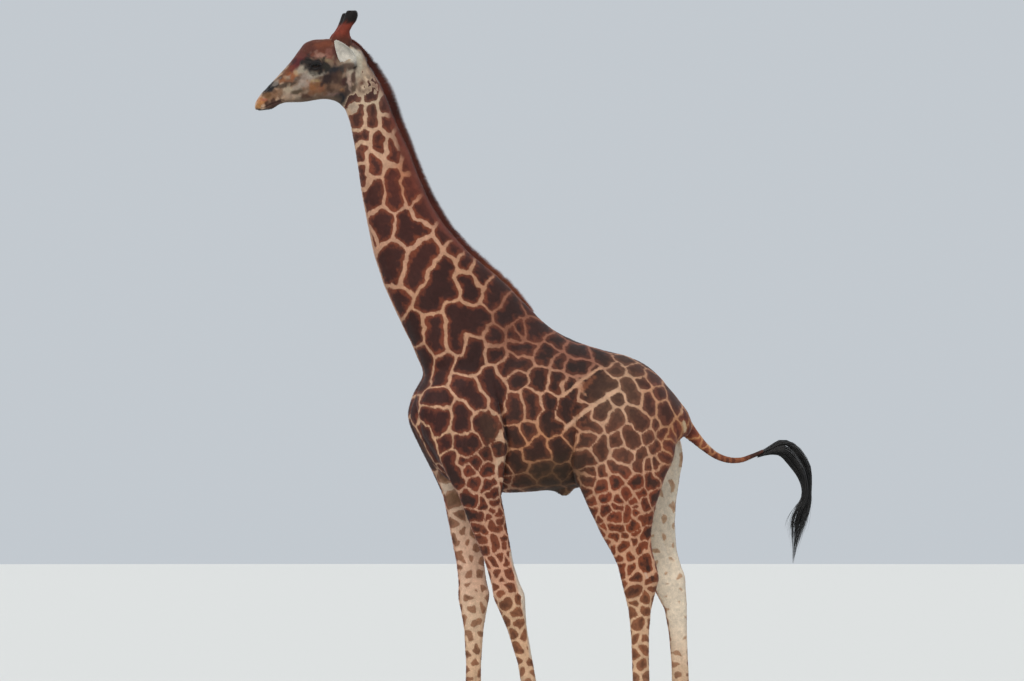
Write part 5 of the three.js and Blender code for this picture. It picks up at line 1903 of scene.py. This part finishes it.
# The brush's middle line from the tail's end to its tip: y, z, half-depth in the side view, half-width.
BRUSH = [
    (1.540, 1.964, 0.018, 0.017), (1.610, 1.990, 0.024, 0.023), (1.665, 2.006, 0.040, 0.030),
    (1.715, 2.013, 0.060, 0.040), (1.776, 1.984, 0.068, 0.044), (1.850, 1.891, 0.060, 0.046),
    (1.880, 1.812, 0.043, 0.042), (1.889, 1.730, 0.030, 0.036), (1.882, 1.655, 0.035, 0.034),
    (1.850, 1.580, 0.047, 0.034), (1.822, 1.500, 0.048, 0.030), (1.812, 1.420, 0.032, 0.024),
    (1.802, 1.340, 0.017, 0.016), (1.790, 1.235, 0.006, 0.006),
]
BRUSH_CLUMPS = 24
BRUSH_LOCKS = 560
BRUSH_STRAYS = 60
LOCK_STEPS = 21
LOCK_SIDES = 3


def clump_path(clump, at):
    """Where a clump's middle lies across the brush at each share of its length, in the unit disc."""
    u, v, phase, turns = clump
    u = u + 0.12 * np.sin(turns * at + phase) + 0.06 * np.sin(2.3 * turns * at + 2 * phase)
    v = v + 0.16 * np.cos(turns * at + 1.7 * phase)
    return u, v


def brush_clumps(source):
    """Each clump's place across the brush, phase and turns, and the share of the brush that it reaches."""
    spot, angle = np.sqrt(source.uniform(0, 1, BRUSH_CLUMPS)), source.uniform(0, 2 * math.pi, BRUSH_CLUMPS)
    across = 0.85 * spot * np.cos(angle)
    across = np.where((across > 0.25) & (across < 0.62), across + 0.42, across)  # gaps inside the outer bend
    clumps = np.stack([across, 0.85 * spot * np.sin(angle),
                       source.uniform(0, 6, BRUSH_CLUMPS), source.uniform(4, 9, BRUSH_CLUMPS)], axis=1)
    return clumps, 0.60 + 0.42 * source.uniform(0, 1, BRUSH_CLUMPS) ** 0.6


def lock_shape(lock, brush, clump, reach, source):
    """One lock of a clump, or a stray beside it, as rings of points."""
    stray = lock >= BRUSH_LOCKS
    share = np.linspace(0, 1, LOCK_STEPS)
    begin = source.uniform(0.1, 0.6) if stray else 0.16 * source.uniform(0, 1) ** 1.3
    end = min(reach * source.uniform(0.80, 1.04), 1.0)
    end = max(end, begin + 0.22) if stray else end
    at = begin + (min(end, 1.0) - begin) * share
    rows = len(brush[0])
    spine, sideways, sizes = (
        np.stack([np.interp(at * (rows - 1), np.arange(rows), table[:, k]) for k in range(table.shape[1])], 1)
        for table in brush)
    u, v = clump_path(clump, at)
    off_u, off_v = source.normal(0, 0.10, 2)
    u = u + off_u * (1 + 0.5 * np.sin(9 * at + lock))
    v = v + off_v * (1 + 0.5 * np.cos(8 * at + lock))
    if stray:
        away = source.uniform(0.4, 1.0) * share**2
        u, v = u + np.sign(u) * away, v + np.sign(v) * away
    spine = spine + sideways * (u * sizes[:, 2])[:, None]
    spine[:, 0] += v * sizes[:, 3]
    thick = source.uniform(0.0009, 0.0014) if stray else source.uniform(0.0016, 0.0032)
    radius = (thick * np.minimum(1, 6 * share + 0.3) * (1 - share**2.2) + 0.0002)[:, None]
    u, v = np.cos(turns(LOCK_SIDES)) * radius, np.sin(turns(LOCK_SIDES)) * radius
    return tube_points(spine, sideways, np.array([(1.0, 0, 0)]), u, v)


def make_brush(material):
    """Long locks in clumps along the brush's line, with gaps between the clumps and strays outside them."""
    line = spline(BRUSH, 120)
    middle = np.stack([np.zeros(len(line)), line[:, 0], line[:, 1]], axis=1)
    depthwise = np.cross((1.0, 0, 0), unit(np.gradient(middle, axis=0)))
    source = np.random.default_rng(44)
    clumps, reaches = brush_clumps(source)
    blocks, tints = [], []
    tube = tube_triangles(LOCK_STEPS, LOCK_SIDES)
    for lock in range(BRUSH_LOCKS + BRUSH_STRAYS):
        clump = lock % BRUSH_CLUMPS
        rings = lock_shape(lock, (middle, depthwise, line), clumps[clump], reaches[clump], source)
        blocks.append((rings, outward(rings, tube)))
        tints.append(np.full(len(rings), source.normal(0, 0.2)))
    brush = new_object("tail_brush_hair", *joined(blocks))
    store_number(brush.data, "tint", np.concatenate(tints))
    finish(brush, material, "brush", "tail_brush")


# ---- Putting it together ----

COAT_PER_METRE = 13000
TRUNK_FLOOR = 1.62


def coat_regions(centres):
    """Which triangles each coat piece covers."""
    x, y, z = centres.T
    head = (past_head_cut(centres) > 0) & (z > HEAD_FLOOR)
    neck = ~head & (past_neck(centres) > 0) & (y < 0.3)
    upper = neck & (z > 3.55)
    tail = (y > 1.02) & (z > TAIL_FLOOR)
    trunk = ~head & ~neck & ~tail & (z > TRUNK_FLOOR)
    legs = ~head & ~neck & ~tail & ~trunk
    return {
        "coat_head": head,
        "coat_neck_upper": upper,
        "coat_neck_lower": neck & ~upper,
        "coat_shoulder_left": trunk & (y < -0.10) & (x > 0),
        "coat_shoulder_right": trunk & (y < -0.10) & (x <= 0),
        "coat_barrel": trunk & (y >= -0.10) & (y < 0.42),
        "coat_rump_left": trunk & (y >= 0.42) & (x > 0),
        "coat_rump_right": trunk & (y >= 0.42) & (x <= 0),
        "coat_forelegs": legs & (y < LEG_PARTING_Y),
        "coat_hindlegs": legs & (y >= LEG_PARTING_Y),
        "coat_tail": tail,
    }


COAT_DENSITY = {"coat_head": 66000, "coat_tail": 26000, "coat_forelegs": 16500, "coat_hindlegs": 16500}


def make_seeds(points, normals, tree):
    """All patches' seeds: those that were read, their mirror images, and those that fill what isn't seen."""
    seeds, groups = read_seeds(tree)
    right, right_groups = mirrored(seeds, groups)
    seeds, groups = np.concatenate([seeds, right]), np.concatenate([groups, right_groups])
    return fill_seeds(points, normals, seeds, groups)


def build():
    add_camera()
    add_stage()
    names, skin, points, normals, triangles = make_skin()
    tree = BVHTree.FromObject(skin, bpy.context.evaluated_depsgraph_get())
    paint = paint_body(points, normals, *make_seeds(points, normals, tree))
    store_paint(skin.data, paint)

    skin_material = hide_material("giraffe_skin", 0.0009)
    coat_material = hide_material("giraffe_coat", 0.0004)
    skin.data.materials.clear()
    finish(skin, skin_material, "coat", *names)
    for name, chosen in coat_regions(points[triangles].mean(axis=1)).items():
        density = COAT_DENSITY.get(name, COAT_PER_METRE)
        grow_coat(name, (points, normals, triangles, paint, tree), chosen, density, coat_material)

    brush_material = plain_material("brush_hair", (9, 9, 10), (26, 23, 22), 0.42, 40, 0.0004, (1, 1, 0.15))
    hoof_material = plain_material("hoof_horn", (38, 30, 26), (74, 58, 46), 0.5, 30, 0.0006, (1, 1, 3))
    eye = eye_material()
    for name, side in SIDES.items():
        make_ear(name, side, skin_material, coat_material)
        make_horn(name, side, skin_material, coat_material)
        make_eye(name, side, eye)
        make_lashes(name, side, brush_material)
    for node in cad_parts:
        if node.startswith("hoof_"):
            make_hoof(node, hoof_material)
    make_mane(points, normals, triangles, coat_material)
    make_brush(brush_material)


build()
